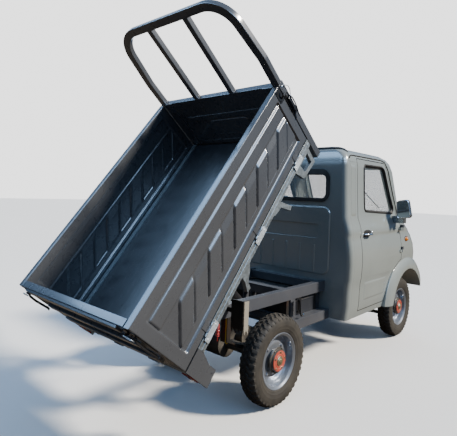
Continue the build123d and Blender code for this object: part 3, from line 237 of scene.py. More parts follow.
def rubber(net, colour, dust, rough=0.72, grain=220):
    """Matt rubber: fine grain under dust."""
    grime = net.noise(7, 7, 0.7)
    fine = net.noise(grain, 3)
    skin = net.mix(net.band(fine, 0.3, 0.7), shaded(colour, 0.7), colour)
    skin = net.mix(net.band(grime, 0.38, 0.7, dust * 0.35, dust), skin, DUST)
    net.set(Base_Color=skin, Specular_IOR_Level=0.3)
    net.set(Roughness=net.band(grime, 0.3, 0.7, rough - 0.12, rough + 0.16))
    net.bump(fine, 0.0003, 0.6)


def plastic(net, colour, rough, dust, grain=300, depth=0.00012):
    """Moulded plastic or vinyl with a leather grain."""
    leather = net.node("TexVoronoi", {"Vector": net.place, "Scale": grain}).outputs["Distance"]
    grime = net.noise(11, 6, 0.65)
    lying = net.calc("MULTIPLY", net.upward(), net.band(grime, 0.4, 0.7, 0, dust))
    vary = net.mix(net.noise(4, 3), shaded(colour, 0.85), colour)
    net.set(Base_Color=net.mix(lying, vary, DUST))
    net.set(Roughness=net.band(grime, 0.3, 0.7, rough - 0.06, rough + 0.1))
    net.bump(leather, depth, 0.8)


def steel(net, colour, rough, streak, metal=1.0, rust=0.0):
    """Brushed or plated metal with a drawn grain."""
    grain = net.noise(30, 4, 0.6, net.stretch(*streak))
    blotch = net.noise(14, 6, 0.7)
    skin = net.mix(net.band(grain, 0.3, 0.7), shaded(colour, 0.78), colour)
    if rust:
        skin = net.mix(net.band(blotch, 0.5, 0.72, 0, rust), skin, tone(92, 62, 42))
    net.set(Base_Color=skin, Metallic=metal)
    net.set(Roughness=net.band(grain, 0.2, 0.8, rough - 0.07, rough + 0.1))
    net.bump(grain, 0.00004, 0.6)


def clear(net, colour, alpha, rough=0.03):
    """Window glass with a faint smear."""
    smear = net.noise(5, 5, 0.7)
    net.set(Base_Color=net.mix(net.band(smear, 0.4, 0.7, 0, 0.25), colour, tone(190, 190, 180)))
    net.set(Roughness=net.band(smear, 0.35, 0.75, rough, rough + 0.1))
    net.set(Transmission_Weight=0.85, Alpha=alpha, IOR=1.45)


def lens_plastic(net, colour, ribs, way):
    """Moulded lamp lens: prism ribs under a gloss coat, with painted shade darkening the rib grooves."""
    wave = net.node("TexWave", {"Vector": net.place, "Scale": ribs}, bands_direction=way).outputs["Fac"]
    # colour darker in the rib grooves: painted shade of the ribs
    net.set(Base_Color=net.mix(net.band(wave, 0.2, 0.8), shaded(colour, 0.55), colour), Coat_Weight=0.6)
    net.set(Roughness=net.band(net.noise(20, 4), 0.3, 0.7, 0.12, 0.24), Coat_Roughness=0.05)
    net.bump(wave, 0.0015, 0.6)


# Maker, name, colour, then the maker's own values
LOOKS = (
    (paint, "cab_paint", (146, 154, 153), 0.24, 0.04, 0.03, 0.06, 0.8, 0.1),
    (paint, "bed_paint", (78, 81, 86), 0.28, 0.10, 0.05, 0.0, 0.8, 0.2),
    (paint, "frame_paint", (66, 69, 76), 0.45, 0.12, 0.08, 0.08, 0.1),
    (paint, "rim_metal", (150, 157, 168), 0.28, 0.10, 0.05, 0.10, 0.4, 0.7),
    (paint, "axle_iron", (36, 36, 37), 0.60, 0.25, 0.40, 0.30),
    (paint, "ram_steel", (30, 30, 34), 0.30, 0.15, 0.30, 0.0, 0.3),
    (paint, "hub_black", (22, 22, 24), 0.35, 0.20, 0.10, 0.25, 0.3),
    (paint, "hub_red", (168, 52, 34), 0.40, 0.15, 0.10, 0.30, 0.2),
    (paint, "latch_dark", (34, 35, 38), 0.32, 0.20, 0.15, 0.0, 0.2, 0.4),
    (paint, "red_spring", (178, 40, 30), 0.40, 0.15, 0.10, 0.0, 0.3),
    (floor_coat, "floor_paint", (48, 52, 60)),
    (galvanised, "bed_rail", (142, 151, 156)),
    (galvanised, "plate_zinc", (206, 214, 218), 260, 0.5),
    (rubber, "rubber_tyre", (36, 35, 34), 0.15),
    (rubber, "seal_rubber", (20, 20, 22), 0.08, 0.5, 400),
    # dark_line: near-black rubber; in the door gaps it is painted shade of the gap
    (rubber, "dark_line", (16, 16, 18), 0.05, 0.6, 400),
    # pale rubber: dust, and painted sunlight on the black flap's side
    (rubber, "dusty_rubber", (150, 146, 136), 0.5, 0.8, 160),
    (plastic, "battery_case", (34, 36, 42), 0.5, 0.4),
    (plastic, "trim_plastic", (34, 34, 36), 0.5, 0.2),
    (plastic, "seat_cover", (48, 48, 52), 0.55, 0.1, 420, 0.0002),
    (plastic, "bumper_plastic", (80, 85, 87), 0.45, 0.3),
    (plastic, "yellow_tag", (214, 176, 38), 0.45, 0.2),
    (steel, "spring_steel", (60, 57, 54), 0.5, (60, 4, 4), 0.7, 0.6),
    (steel, "rod_chrome", (225, 226, 230), 0.14, (4, 4, 4)),
    (steel, "zinc", (196, 186, 150), 0.32, (6, 6, 6), 0.9),
    (steel, "bright_steel", (170, 174, 178), 0.3, (5, 5, 5), 0.95),
    (steel, "mirror_shell", (150, 158, 162), 0.22, (4, 4, 4), 0.85),
    (steel, "mirror_glass", (150, 166, 178), 0.08, (3, 3, 3)),
    (clear, "glass", (205, 218, 218), 0.3),
    (lens_plastic, "lamp_lens", (222, 228, 232), 45, "Y"),
    (lens_plastic, "tail_lens", (190, 30, 22), 60, "Z"),
    (lens_plastic, "amber_lens", (226, 128, 22), 70, "X"),
)
MATS = {}
for maker, name, colour, *values in LOOKS:
    net = Net(name)
    maker(net, tone(*colour), *values)
    MATS[name] = net.mat


# Making and placing pieces
BODY = {n: b for b, ns in frame["record"]["behaviour"]["bodies"].items() for n in ns}
NODE_SLOT = {s["node"]: s["material_slot"] for s in frame["record"]["subparts"]}


def as_object(name, data):
    made = bpy.data.objects.new(name, data)
    SCENE.collection.objects.link(made)
    return made


def finish_mesh(bm, crease):
    """Smooth faces, sharp where the faces turn more than crease degrees."""
    bmesh.ops.recalc_face_normals(bm, faces=bm.faces)
    for face in bm.faces:
        face.smooth = True
    for edge in bm.edges:
        edge.smooth = edge.calc_face_angle(0) < radians(crease)


def put(name, bm, body, mat, crease=40, replaces=()):
    """Turns a bmesh into a piece of a named material that rides on a body."""
    finish_mesh(bm, crease)
    mesh = bpy.data.meshes.new(name)
    bm.to_mesh(mesh)
    bm.free()
    mesh.materials.append(MATS[mat])
    piece = as_object(name, mesh)
    even = piece.modifiers.new("even", "WEIGHTED_NORMAL")
    even.keep_sharp = True
    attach(piece, body)
    if replaces:
        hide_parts(*replaces)


def round_edges(bm, width, turn=32, segments=2):
    sharp = [e for e in bm.edges if len(e.link_faces) == 2 and e.calc_face_angle(0) > radians(turn)]
    bmesh.ops.bevel(bm, geom=sharp, offset=width, segments=segments, profile=0.6, affect="EDGES")


def soften(node, width):
    """Stands for a CAD node: the same solid with its edges rounded."""
    bm = bmesh.new()
    bm.from_mesh(frame["nodes"][node].data)
    bmesh.ops.remove_doubles(bm, verts=bm.verts, dist=2e-5)
    bmesh.ops.dissolve_limit(bm, angle_limit=radians(0.5), verts=bm.verts, edges=bm.edges)
    round_edges(bm, width)
    bmesh.ops.triangulate(bm, faces=[f for f in bm.faces if len(f.verts) > 4])
    slot = NODE_SLOT[node]
    put(node + "_skin", bm, BODY[node], slot, replaces=(node,))


def bridge(bm, loops, closed=True):
    """Faces between neighbouring loops of corners."""
    for a, b in zip(loops, loops[1:]):
        for k in range(0 if closed else 1, len(a)):
            bm.faces.new((a[k - 1], a[k], b[k], b[k - 1]))


def wheel_spot(spot, angle, radius, out, side):
    return spot + Vector((radius * cos(angle), side * out, radius * sin(angle)))


def lathe(bm, rows, spot, steps, side):
    """Turns rows of (radius, out) round the wheel axle; side is +1 for a wheel on the left."""
    rings = []
    for count in range(steps):
        angle = 2 * pi * count / steps
        rings.append([bm.verts.new(wheel_spot(spot, angle, radius, out, side)) for radius, out in rows])
    bridge(bm, rings + rings[:1], False)


def hexa(bm, corners):
    """A block from its eight corners: four of the foot, four of the top, in the same order."""
    v = [bm.verts.new(c) for c in corners]
    for loop in ((3, 2, 1, 0), (4, 5, 6, 7), (0, 1, 5, 4), (1, 2, 6, 5), (2, 3, 7, 6), (3, 0, 4, 7)):
        bm.faces.new([v[k] for k in loop])


def prism(bm, outline, low, high, place):
    """A plate from a flat outline; place(a, b, c) puts it in the vehicle."""
    foot = [bm.verts.new(place(a, b, low)) for a, b in outline]
    top = [bm.verts.new(place(a, b, high)) for a, b in outline]
    bm.faces.new(foot)
    bm.faces.new(top[::-1])
    bridge(bm, (top, foot))
    bmesh.ops.recalc_face_normals(bm, faces=bm.faces)


def tube(bm, points, radius, sides=8, closed=False, flat=1.0):
    """A round bar along points, the ends closed unless it is a loop; flat squeezes it across."""
    points = [Vector(p) for p in points]
    count = len(points)
    rings = []
    up = None
    for k in range(count):
        before = points[k - 1] if k or closed else points[k]
        after = points[(k + 1) % count] if k < count - 1 or closed else points[k]
        ahead = (after - before).normalized()
        if up is None:
            up = ahead.orthogonal().normalized()
        up = (up - ahead * up.dot(ahead)).normalized()
        across = ahead.cross(up)
        ring = []
        for s in range(sides):
            a = 2 * pi * s / sides
            ring.append(bm.verts.new(points[k] + radius * (up * cos(a) + across * sin(a) * flat)))
        rings.append(ring)
    bridge(bm, rings + rings[:1] if closed else rings)
    if not closed:
        bm.faces.new(rings[0][::-1])
        bm.faces.new(rings[-1])


def rounded(corners, radius, steps=6, closed=True):
    """Points of a flat outline whose corners are turned with a radius (or one per corner)."""
    count = len(corners)
    radii = radius if isinstance(radius, (list, tuple)) else [radius] * count
    points = []
    for k in range(count):
        here = Vector(corners[k])
        if not closed and k in (0, count - 1):
            points.append(here)
            continue
        back = (Vector(corners[k - 1]) - here).normalized()
        on = (Vector(corners[(k + 1) % count]) - here).normalized()
        half = back.angle(on) / 2
        reach = radii[k] / max(0.05, sin(half) / cos(half))
        middle = here + (back + on).normalized() * (radii[k] / sin(half))
        start = here + back * reach
        end = here + on * reach
        for s in range(steps + 1):
            share = s / steps
            spot = start.lerp(end, share) - middle
            points.append(middle + spot.normalized() * radii[k])
    return points


def bolt(bm, spot, out, radius, height, turn=0.3):
    """A hexagon head with a washer, standing on a face whose outward way is given."""
    out = out.normalized()
    up = out.orthogonal().normalized()
    across = out.cross(up)
    for sides, r, low, high in ((14, radius * 1.35, 0, height * 0.25), (6, radius, height * 0.25, height)):
        foot, top = [], []
        for s in range(sides):
            a = 2 * pi * s / sides + turn
            way = up * cos(a) + across * sin(a)
            foot.append(bm.verts.new(spot + way * r + out * low))
            top.append(bm.verts.new(spot + way * r * 0.94 + out * high))
        bm.faces.new(foot[::-1])
        bm.faces.new(top)
        bridge(bm, (foot, top))


def rect(a0, b0, a1, b1):
    return ((a0, b0), (a1, b0), (a1, b1), (a0, b1))


def divided(points, gap=0.03):
    """The same line with more points on its long runs."""
    made = []
    for a, b in zip(points, points[1:]):
        a, b = Vector(a), Vector(b)
        count = max(1, int((b - a).length / gap))
        made += [a.lerp(b, k / count) for k in range(count)]
    return made + [Vector(points[-1])]


def ring(outline, gap=0.03):
    """A closed outline with more points on its long runs."""
    return divided(outline + [outline[0]], gap)[:-1]


def bar(name, points, radius, body, mat, sides=8, closed=False, flat=1.0, crease=40):
    """A piece that is one bent bar."""
    bm = bmesh.new()
    tube(bm, points, radius, sides, closed, flat)
    put(name, bm, body, mat, crease)


# CAD nodes with their edges rounded: node, width in mm; the other nodes only get their material
SOFT_NODES = (
    ("cab_roof", 2.0), ("cab_back", 2.0), ("cab_front", 2.0), ("cab_sides", 2.0), ("cab_floor", 3.0),
    ("door_left", 2.0), ("door_right", 2.0), ("wheel_arches", 2.0), ("front_bumper", 8.0),
    ("headboard", 2.5), ("cab_guard", 5.0), ("tailgate", 2.5), ("bed_floor", 2.0), ("floor_strips", 3.0),
    ("bed_subframe", 2.0), ("bed_brackets", 2.0),
    ("frame_upper_rails", 4.0), ("frame_lower_rails", 4.0), ("frame_crossmembers", 3.0), ("bed_pivot", 2.0),
    ("rear_axle", 3.0), ("front_axle", 3.0), ("knuckle_left", 2.0), ("knuckle_right", 2.0),
    ("mirror_left", 4.0), ("mirror_right", 4.0), ("dashboard", 10.0), ("tail_lamps", 3.0),
    ("mud_flaps", 1.5), ("back_window_seal", 2.5), ("battery_pack", 5.0), ("head_lamps", 2.0),
)
for node, width in SOFT_NODES:
    soften(node, width / 1000)
for node, slot in NODE_SLOT.items():
    if node not in dict(SOFT_NODES):
        data = frame["nodes"][node].data
        data.materials.clear()
        data.materials.append(MATS[slot])


# Wheels: tyre with shoulder lugs, centre blocks and ringed walls; rim dressing
WHEELS = (
    ("front_left", WHEELBASE, 1), ("front_right", WHEELBASE, -1), ("rear_left", 0, 1), ("rear_right", 0, -1),
)
LUGS = 42
# Radius and distance out from the wheel's middle, here and in the other rows
WALL_ROWS = mm(
    (158.2, 40), (164, 44.6), (170, 48.2), (173.5, 51.2), (176.5, 51.2), (179, 52.2), (188, 54.6),
    (190, 56.2), (192.5, 56.2), (194.5, 56), (209, 58.3), (211, 59), (214, 59), (216, 58.6), (227, 58.4),
    (238, 57), (247, 54), (254, 50), (259, 44), (261.5, 38), (263, 20),
)
TREAD_TOP = 0.2698
# Tread blocks: start in pitches, inner and outer edge, root radius at both, outer top, share of pitch, twist
LUG_ROWS = (
    (0.00, 0.0250, 0.0560, 0.2600, 0.2400, 0.2545, 0.60, 0.10),
    (0.50, 0.0040, 0.0215, 0.2610, 0.2610, TREAD_TOP, 0.62, 0.22),
)
LUG_TAPER = 0.82
LUG_IN = 1.04
LUG_OUT = 0.985
LUG_ROUND = 0.0012
RIM_ROWS = mm(
    (150, -40), (162, -43.2), (168, -45.2), (168, -47), (160, -47), (148, -40.5), (142, -33), (140, -12),
    (133, -8.5), (112, -6), (105, -1), (92, 0.5), (86, -3), (64, -3), (64, 6), (87, 6), (93.5, 8.2),
    (106, 7.5), (113.5, 2.5), (133.5, 0), (140, 2), (143.5, 20), (149, 40.2), (156, 43.8), (160, 47.2),
    (164, 49), (167.2, 48), (168.2, 45), (164, 43.2), (150, 40),
)
STEM_ROWS = mm((141, 20), (137, 30), (131, 40))
STEM_ANGLE = 0.5
STEM_R = 0.0042
HUB_ROWS = mm(
    (30, 20), (77, 23.5), (78.5, 26), (78.5, 30), (76.5, 32.2), (69, 33), (66, 35), (64.5, 42),
    (62.5, 44.6), (30, 44.6),
)
HUB_BACK_ROWS = mm((64, 20), (64, -34), (56, -36), (19, -36), (19, 44))
RING_ROWS = mm(
    (30, 44), (60, 44.6), (61, 45.6), (60.8, 47.2), (59, 48.2), (44, 48.6), (42.5, 47.4), (39.5, 47.4),
    (38, 48.8), (31, 49), (30, 48.4),
)
CAP_ROWS = mm((0.2, 44), (28.5, 44), (28.5, 50), (26.2, 53), (15, 53.8), (0.2, 54))
# Bolts: count, first angle, circle, distance out, head radius, head height
RIM_BOLTS = (4, pi / 4, 0.0985, 0.0082, 0.0075, 0.0070)
HUB_BOLTS = (6, 0, 0.0715, 0.0326, 0.0042, 0.0045)
CAP_BOLTS = (5, 0.2, 0.0505, 0.0484, 0.0050, 0.0052)
AXLE_NUT = (1, 0, 0, 0.0535, 0.0130, 0.0060)


def bolt_circle(bm, spot, side, count, start, circle, out, radius, height):
    for k in range(count):
        angle = start + k * 2 * pi / count
        bolt(bm, wheel_spot(spot, angle, circle, out, side), Vector((0, side, 0)), radius, height)


def tread_block(bm, spot, side, flip, near, far, wide, inner, outer, root_in, root_out, top_out):
    top = wide * LUG_TAPER
    corners = (
        (near - wide, root_in, inner), (near + wide, root_in, inner),
        (far + wide, root_out, outer), (far - wide, root_out, outer),
        (near - top, TREAD_TOP, inner * LUG_IN), (near + top, TREAD_TOP, inner * LUG_IN),
        (far + top, top_out, outer * LUG_OUT), (far - top, top_out, outer * LUG_OUT),
    )
    hexa(bm, [wheel_spot(spot, angle, radius, flip * out, side) for angle, radius, out in corners])


def tyre_mesh(spot, side):
    bm = bmesh.new()
    rows = [(r, -o) for r, o in WALL_ROWS] + [(r, o) for r, o in reversed(WALL_ROWS)]
    rows.append((WALL_ROWS[0][0], -WALL_ROWS[0][1]))
    lathe(bm, rows, spot, LUGS * 3, side)
    bmesh.ops.remove_doubles(bm, verts=bm.verts, dist=1e-6)
    blocks = bmesh.new()
    pitch = 2 * pi / LUGS
    for start, *edges, share, twist in LUG_ROWS:
        for count in range(LUGS):
            for flip, shift in ((1, 0), (-1, 0.5)):
                near = (count + start + shift) * pitch
                tread_block(blocks, spot, side, flip, near, near + twist * pitch, share * pitch / 2, *edges)
    bmesh.ops.recalc_face_normals(blocks, faces=blocks.faces)
    round_edges(blocks, LUG_ROUND, 30, 1)
    spare = bpy.data.meshes.new("spare")
    blocks.to_mesh(spare)
    blocks.free()
    bm.from_mesh(spare)
    bpy.data.meshes.remove(spare)
    return bm


for name, x, side in WHEELS:
    spot = at(x, side * WHEEL_Y, TYRE_R)
    body = "wheel_" + name
    tyre = "tyre_" + name
    put(tyre + "_tread", tyre_mesh(spot, side), body, "rubber_tyre", 50, (tyre,))
    bm = bmesh.new()
    lathe(bm, RIM_ROWS + RIM_ROWS[:1], spot, 96, side)
    bmesh.ops.remove_doubles(bm, verts=bm.verts, dist=1e-6)
    bolt_circle(bm, spot, side, *RIM_BOLTS)
    tube(bm, [wheel_spot(spot, STEM_ANGLE, r, o, side) for r, o in STEM_ROWS], STEM_R)
    put("rim_" + name + "_dish", bm, body, "rim_metal", 38, ("rim_" + name,))
    bm = bmesh.new()
    lathe(bm, HUB_ROWS, spot, 64, side)
    lathe(bm, HUB_BACK_ROWS, spot, 48, side)
    bolt_circle(bm, spot, side, *HUB_BOLTS)
    put("hub_" + name, bm, body, "hub_black", 38)
    bm = bmesh.new()
    lathe(bm, RING_ROWS, spot, 64, side)
    put("hub_ring_" + name, bm, body, "hub_red", 30)
    bm = bmesh.new()
    lathe(bm, CAP_ROWS, spot, 32, side)
    bolt_circle(bm, spot, side, *CAP_BOLTS)
    bolt_circle(bm, spot, side, *AXLE_NUT)
    bmesh.ops.remove_doubles(bm, verts=bm.verts, dist=1e-5)
    put("hub_nuts_" + name, bm, body, "zinc", 30)


# Cab skin: rows of height, half width, set-back of the nose, corner radius
NOSE_X = WHEELBASE + 0.325
SKIN_ROWS = mm(
    (354, 532, 30, 180), (450, 546, 7, 180), (560, 550, 0, 180), (617, 553, 0, 180), (655, 561, 0, 185),
    (765, 567, 1, 185), (850, 563, 18, 185), (930, 552, 68, 178), (962, 543, 103, 172),
    (990, 549, 145, 172), (1035, 543, 212, 168), (1110, 517, 283, 155), (1301, 506, 363, 150),
    (1501, 500, 453, 145), (1565, 488, 497, 140), (1600, 470, 550, 130), (1625, 440, 630, 120),
    (1637, 395, 745, 110),
)


def skin(z):
    """Half width, front and corner radius of the cab at a height."""
    for low, high in zip(SKIN_ROWS, SKIN_ROWS[1:]):
        if z <= high[0]:
            break
    share = min(1, max(0, (z - low[0]) / (high[0] - low[0])))
    half, nose, corner = (a + (b - a) * share for a, b in zip(low[1:], high[1:]))
    return half, NOSE_X - nose, corner


def side_y(x, z):
    half, front, corner = skin(z)
    over = x - (front - corner)
    if over <= 0:
        return half
    return half - corner + sqrt(max(0, corner**2 - over**2))


def front_x(y, z):
    half, front, corner = skin(z)
    over = abs(y) - (half - corner)
    if over <= 0:
        return front
    return front - corner + sqrt(max(0, corner**2 - over**2))


def on_side(x, z, side, out=0.0):
    return at(x, side * (side_y(x, z) + out), z)


def dome(bm, spot, right, up, wide, tall, high, power=3.0, rings=6, steps=40, skirt=0.004):
    """A lens or button: a superellipse foot rising to a rounded top."""
    out = right.cross(up).normalized()
    loops = []
    for ring in range(rings + 1):
        share = 1 - ring / (rings + 0.6)
        lift = high * (1 - share**3)
        loop = []
        for s in range(steps):
            a = 2 * pi * s / steps
            c, d = cos(a), sin(a)
            reach = (abs(c) ** power + abs(d) ** power) ** (-1 / power)
            flat = right * (wide * reach * c * share) + up * (tall * reach * d * share)
            loop.append(bm.verts.new(spot + flat + out * lift))
        loops.append(loop)
    base = [bm.verts.new(v.co - out * skirt) for v in loops[0]]
    loops.insert(0, base)
    bridge(bm, loops)
    bm.faces.new(loops[-1])
    bm.faces.new(base[::-1])


def pillow(bm, rows, side, high, soft, steps=26):
    """A pressed panel on the cab's side: rows of (z, x from, x to), from low to high."""
    low, top = rows[0][0], rows[-1][0]
    grid = []
    for k in range(steps + 1):
        z = low + (top - low) * k / steps
        for a, b in zip(rows, rows[1:]):
            if z <= b[0] + 1e-9:
                break
        share = (z - a[0]) / (b[0] - a[0])
        x0 = a[1] + (b[1] - a[1]) * share
        x1 = a[2] + (b[2] - a[2]) * share
        line = []
        for m in range(steps + 1):
            x = x0 + (x1 - x0) * m / steps
            inside = min(x - x0, x1 - x, z - low, top - z) / soft
            rise = high * min(1, max(0, inside)) ** 0.6 - 0.0006
            line.append(bm.verts.new(on_side(x, z, side, rise)))
        grid.append(line)
    bridge(bm, grid, False)
    rim = [e for e in bm.edges if e.is_boundary]
    made = bmesh.ops.extrude_edge_only(bm, edges=rim)["geom"]
    for v in [g for g in made if isinstance(g, bmesh.types.BMVert)]:
        v.co.y -= side * 0.004
    bmesh.ops.holes_fill(bm, edges=[e for e in bm.edges if e.is_boundary], sides=0)


# Cab trim, as (x, z) on the side or (y, z) on the front
WINDOW = mm((1095, 1158), (1700, 1134), (1472, 1529), (1090, 1523))
WINDOW_TURN = (0.035, 0.035, 0.080, 0.035)
PANE = mm((1103.5, 1166.5), (1686, 1143.5), (1467, 1520), (1098.5, 1514.5))
PANE_TURN = (0.03, 0.03, 0.074, 0.03)
DOOR_LOOP = mm((1775, 728.5), (1775, 1090), (1745, 1118), (1510, 1565), (978, 1565), (978, 400), (1450, 400))
DOOR_ARCH = 0.478
ARCH_END = 1.8571
ARCH_STEPS = 14
ARCH_Z = (0.41, 0.72)
GUTTER = mm(
    (850, 1560), (880, 1580), (930, 1586), (1460, 1588), (1520, 1578), (1560, 1520), (1655, 1340),
    (1765, 1128),
)
GUTTER_TURN = 0.012
# Door pull: x, z and distance out from the door
PULL = mm((1030, 982, 4), (1040, 983, 22), (1060, 983, 30), (1110, 981, 30), (1130, 981, 22), (1140, 981, 4))
PULL_R = 0.0085
PULL_FLAT = 0.75
# Door buttons: name, x, z, out, half width, half height, rise, squareness, material, slot
DOOR_DOMES = (
    ("cup", 1.086, 0.988, 0.0012, 0.066, 0.026, 0.003, 2.6, "dark_line", "trim_plastic"),
    ("lock", 1.172, 0.992, 0.0010, 0.011, 0.011, 0.004, 2.0, "rod_chrome", "rod_chrome"),
)
# Pressings: rows of (z, x from, x to), from low to high
DOOR_PRESSING = mm((470, 1050, 1445), (545, 1050, 1452), (610, 1050, 1478))
PILLAR_PRESSING = mm((1120, 862, 946), (1515, 862, 946))
PRESSING_RISE = 0.004
# Name, on the door, rows, width of the soft edge
PRESSINGS = (
    ("door_pressing_", True, DOOR_PRESSING, 0.016), ("pillar_pressing_", False, PILLAR_PRESSING, 0.014),
)
SIDE_LAMP = (1.907, 0.900)
SIDE_LAMP_REACH = 0.030
# Side lamp: name, out, half width, half height, rise, material, slot
SIDE_LAMP_DOMES = (
    ("side_lamp_", 0.0020, 0.034, 0.021, 0.014, "amber_lens", None),
    ("side_lamp_base_", 0.0008, 0.039, 0.026, 0.004, "trim_plastic", "trim_plastic"),
)
MIRROR_FACE = mm((-572, 1092), (-697, 1108), (-668, 1266), (-568, 1250))
MIRROR_TURN = 0.024
MIRROR_X = 1.612
MIRROR_RIM_R = 0.0048
MIRROR_RIM_IN = 0.0080
MIRROR_GLASS = 0.88
MIRROR_GLASS_X = (0.004, -0.0035)
door_gap = [*DOOR_LOOP]
for k in range(ARCH_STEPS + 1):
    a = pi - (pi - ARCH_END) * k / ARCH_STEPS
    z = TYRE_R + DOOR_ARCH * sin(a)
    if ARCH_Z[0] < z < ARCH_Z[1]:
        door_gap.append((WHEELBASE + DOOR_ARCH * cos(a), z))
window = rounded(WINDOW, WINDOW_TURN)
pane = rounded(PANE, PANE_TURN)
gutter = rounded(GUTTER, GUTTER_TURN, 4, False)
# Lines along the side: name, on the door, points, closed, distance out, radius, material, slot
SIDE_LINES = (
    ("window_rubber_", True, ring(window), True, -0.001, 0.0085, "seal_rubber", "seal_rubber"),
    ("window_frame_", True, ring(pane), True, -0.008, 0.0055, "trim_plastic", "trim_plastic"),
    # door gap: a black seal strip, made near-black so that it paints the shade in the gap
    ("door_rubber_", False, ring(door_gap), True, -0.0052, 0.0056, "dark_line", "seal_rubber"),
    ("gutter_", False, divided(gutter), False, 0.001, 0.0055, "seal_rubber", "seal_rubber"),
)

for name, side in SIDES:
    body = "door_" + name
    for part, on_door, points, closed, out, radius, mat, slot in SIDE_LINES:
        points = [on_side(x, z, side, out) for x, z in points]
        bar(part + name, points, radius, body if on_door else "chassis", mat, closed=closed)
    # Door pull with its cup and lock
    pull = [on_side(x, z, side, out) for x, z, out in PULL]
    bar("door_pull_" + name, pull, PULL_R, body, "rod_chrome", 10, flat=PULL_FLAT, crease=60)
    for part, x, z, out, wide, tall, high, power, mat, slot in DOOR_DOMES:
        bm = bmesh.new()
        dome(bm, on_side(x, z, side, out), Vector((-side, 0, 0)), UP, wide, tall, high, power)
        put("door_" + part + "_" + name, bm, body, mat)
    for part, on_door, rows, soft in PRESSINGS:
        bm = bmesh.new()
        pillow(bm, rows, side, PRESSING_RISE, soft)
        put(part + name, bm, body if on_door else "chassis", "cab_paint")
    # Side lamp
    x, z = SIDE_LAMP
    ahead = on_side(x + SIDE_LAMP_REACH, z, side, 0.002) - on_side(x - SIDE_LAMP_REACH, z, side, 0.002)
    ahead.normalize()
    for part, out, wide, tall, high, mat, slot in SIDE_LAMP_DOMES:
        bm = bmesh.new()
        dome(bm, on_side(x, z, side, out), ahead * -side, UP, wide, tall, high, skirt=0.012)
        put(part + name, bm, "chassis", mat)
    # Mirror glass in a bright rim
    face = rounded(MIRROR_FACE, MIRROR_TURN)
    middle = sum(face, Vector((0, 0))) / len(face)
    edge = [p + (middle - p).normalized() * MIRROR_RIM_IN for p in face]
    rim = [at(MIRROR_X - 0.0005, -side * y, z) for y, z in edge]
    bar("mirror_rim_" + name, rim, MIRROR_RIM_R, body, "rod_chrome", closed=True)
    bm = bmesh.new()
    inset = [middle + (p - middle) * MIRROR_GLASS for p in face]
    prism(bm, inset, *MIRROR_GLASS_X, lambda a, b, c: at(MIRROR_X + c, -side * a, b))
    put("mirror_glass_" + name, bm, body, "mirror_glass", 30)
    bpy.data.objects["mirror_" + name + "_skin"].data.materials[0] = MATS["mirror_shell"]

# Windscreen rubber, wiper and roof trim
SCREEN = rect(-0.428, 1.118, 0.428, 1.535)
SCREEN_TURN = 0.02
SCREEN_RUBBER_R = 0.009
WIPER_FOOT = (0.10, 1.090)
WIPER_KNOB = (0.016, 0.016, 0.014, 2)
WIPER_ARM_R = 0.0045
WIPER_BLADE_R = 0.0055
WIPER_BLADE_OUT = 0.006
# Wiper arm: y, z and distance out from the glass
WIPER_ARM = mm((100, 1095, 10), (90, 1108, 20), (-20, 1200, 18), (-160, 1318, 13))
WIPER_BLADE = mm((-280, 1170), (-220, 1240), (-160, 1316), (-100, 1392), (-50, 1455))
ROOF_STRIP_X = 0.872
ROOF_STRIP_R = 0.0085
ROOF_STRIP = mm(
    (-462, 1606), (-440, 1626), (-400, 1639), (-340, 1644), (340, 1644), (400, 1639), (440, 1626),
    (462, 1606),
)
screen = [at(front_x(y, z) - 0.001, y, z) for y, z in ring(rounded(SCREEN, SCREEN_TURN), 0.02)]
bar("windscreen_rubber", screen, SCREEN_RUBBER_R, "chassis", "seal_rubber", closed=True)
bm = bmesh.new()
tube(bm, [at(front_x(y, z) + out, y, z) for y, z, out in WIPER_ARM], WIPER_ARM_R)
tube(bm, [at(front_x(y, z) + WIPER_BLADE_OUT, y, z) for y, z in WIPER_BLADE], WIPER_BLADE_R)
dome(bm, at(front_x(*WIPER_FOOT) + 0.001, *WIPER_FOOT), Vector((0, 1, 0)), UP, *WIPER_KNOB)
put("wiper", bm, "chassis", "trim_plastic")
strip = [at(ROOF_STRIP_X, y, z) for y, z in divided(ROOF_STRIP, 0.04)]
bar("roof_strip", strip, ROOF_STRIP_R, "chassis", "seal_rubber", 10)


# Bed: painted corner plates, hinge plates, corner latches, as (u, w) on the bed's side
CORNER = mm((-1, -5.5), (-1, -193), (93, -193), (93, -125.2), (121, -54.5), (121, -5.5))
CORNER_Y = (0.5142, 0.5288)
CORNER_BOLT = (0.070, -0.172, 0.5286)
HINGE_U = (0.220, 0.800, 1.354)
HINGE_HALF = 0.056
HINGE_W = (-0.047, -0.011)
HINGE_Y = (0.5331, 0.5356)
RIVET_STEP = 0.040
RIVET_W = -0.029
# Half width, half height, rise, squareness, rings, steps, skirt
RIVET = (0.0045, 0.0045, 0.0018, 2, 3, 14, 0.001)
SILL_LIP = rect(0.122, -0.0535, 1.528, -0.0300)
SILL_LIP_Y = (0.5262, 0.5292)
LATCH_Y = (0.5298, 0.5328)
LATCH_BOLT_Y = 0.5326
POST_PLATE = rect(1.546, 0.195, 1.584, 0.345)
POST_BOLTS = mm((1565, 210), (1565, 330))
# Levers, catches and pins on the side: u, w, y
POST_LEVER = mm(
    (1572, 322, 540), (1574, 300, 549), (1571, 262, 552), (1566, 222, 550), (1560, 188, 547),
    (1556, 170, 551),
)
POST_STRAP = mm((1556, 315, 537), (1553, 290, 543), (1550, 255, 545), (1549, 225, 541))
POST_PIN = mm((1549, 310, 540), (1581, 310, 540))
POST_WIRE = mm(
    (1578, 316), (1600, 345), (1598, 372), (1566, 404), (1545, 407), (1538, 395), (1548, 362), (1553, 316),
)
POST_WIRE_Y = 0.541
CATCH_PLATE = rect(1.478, 0.332, 1.526, 0.416)
CATCH_BOLTS = mm((1490, 346), (1490, 402))
CATCH_HOOK = mm((1508, 350, 532), (1510, 366, 546), (1517, 380, 550), (1526, 388, 547))
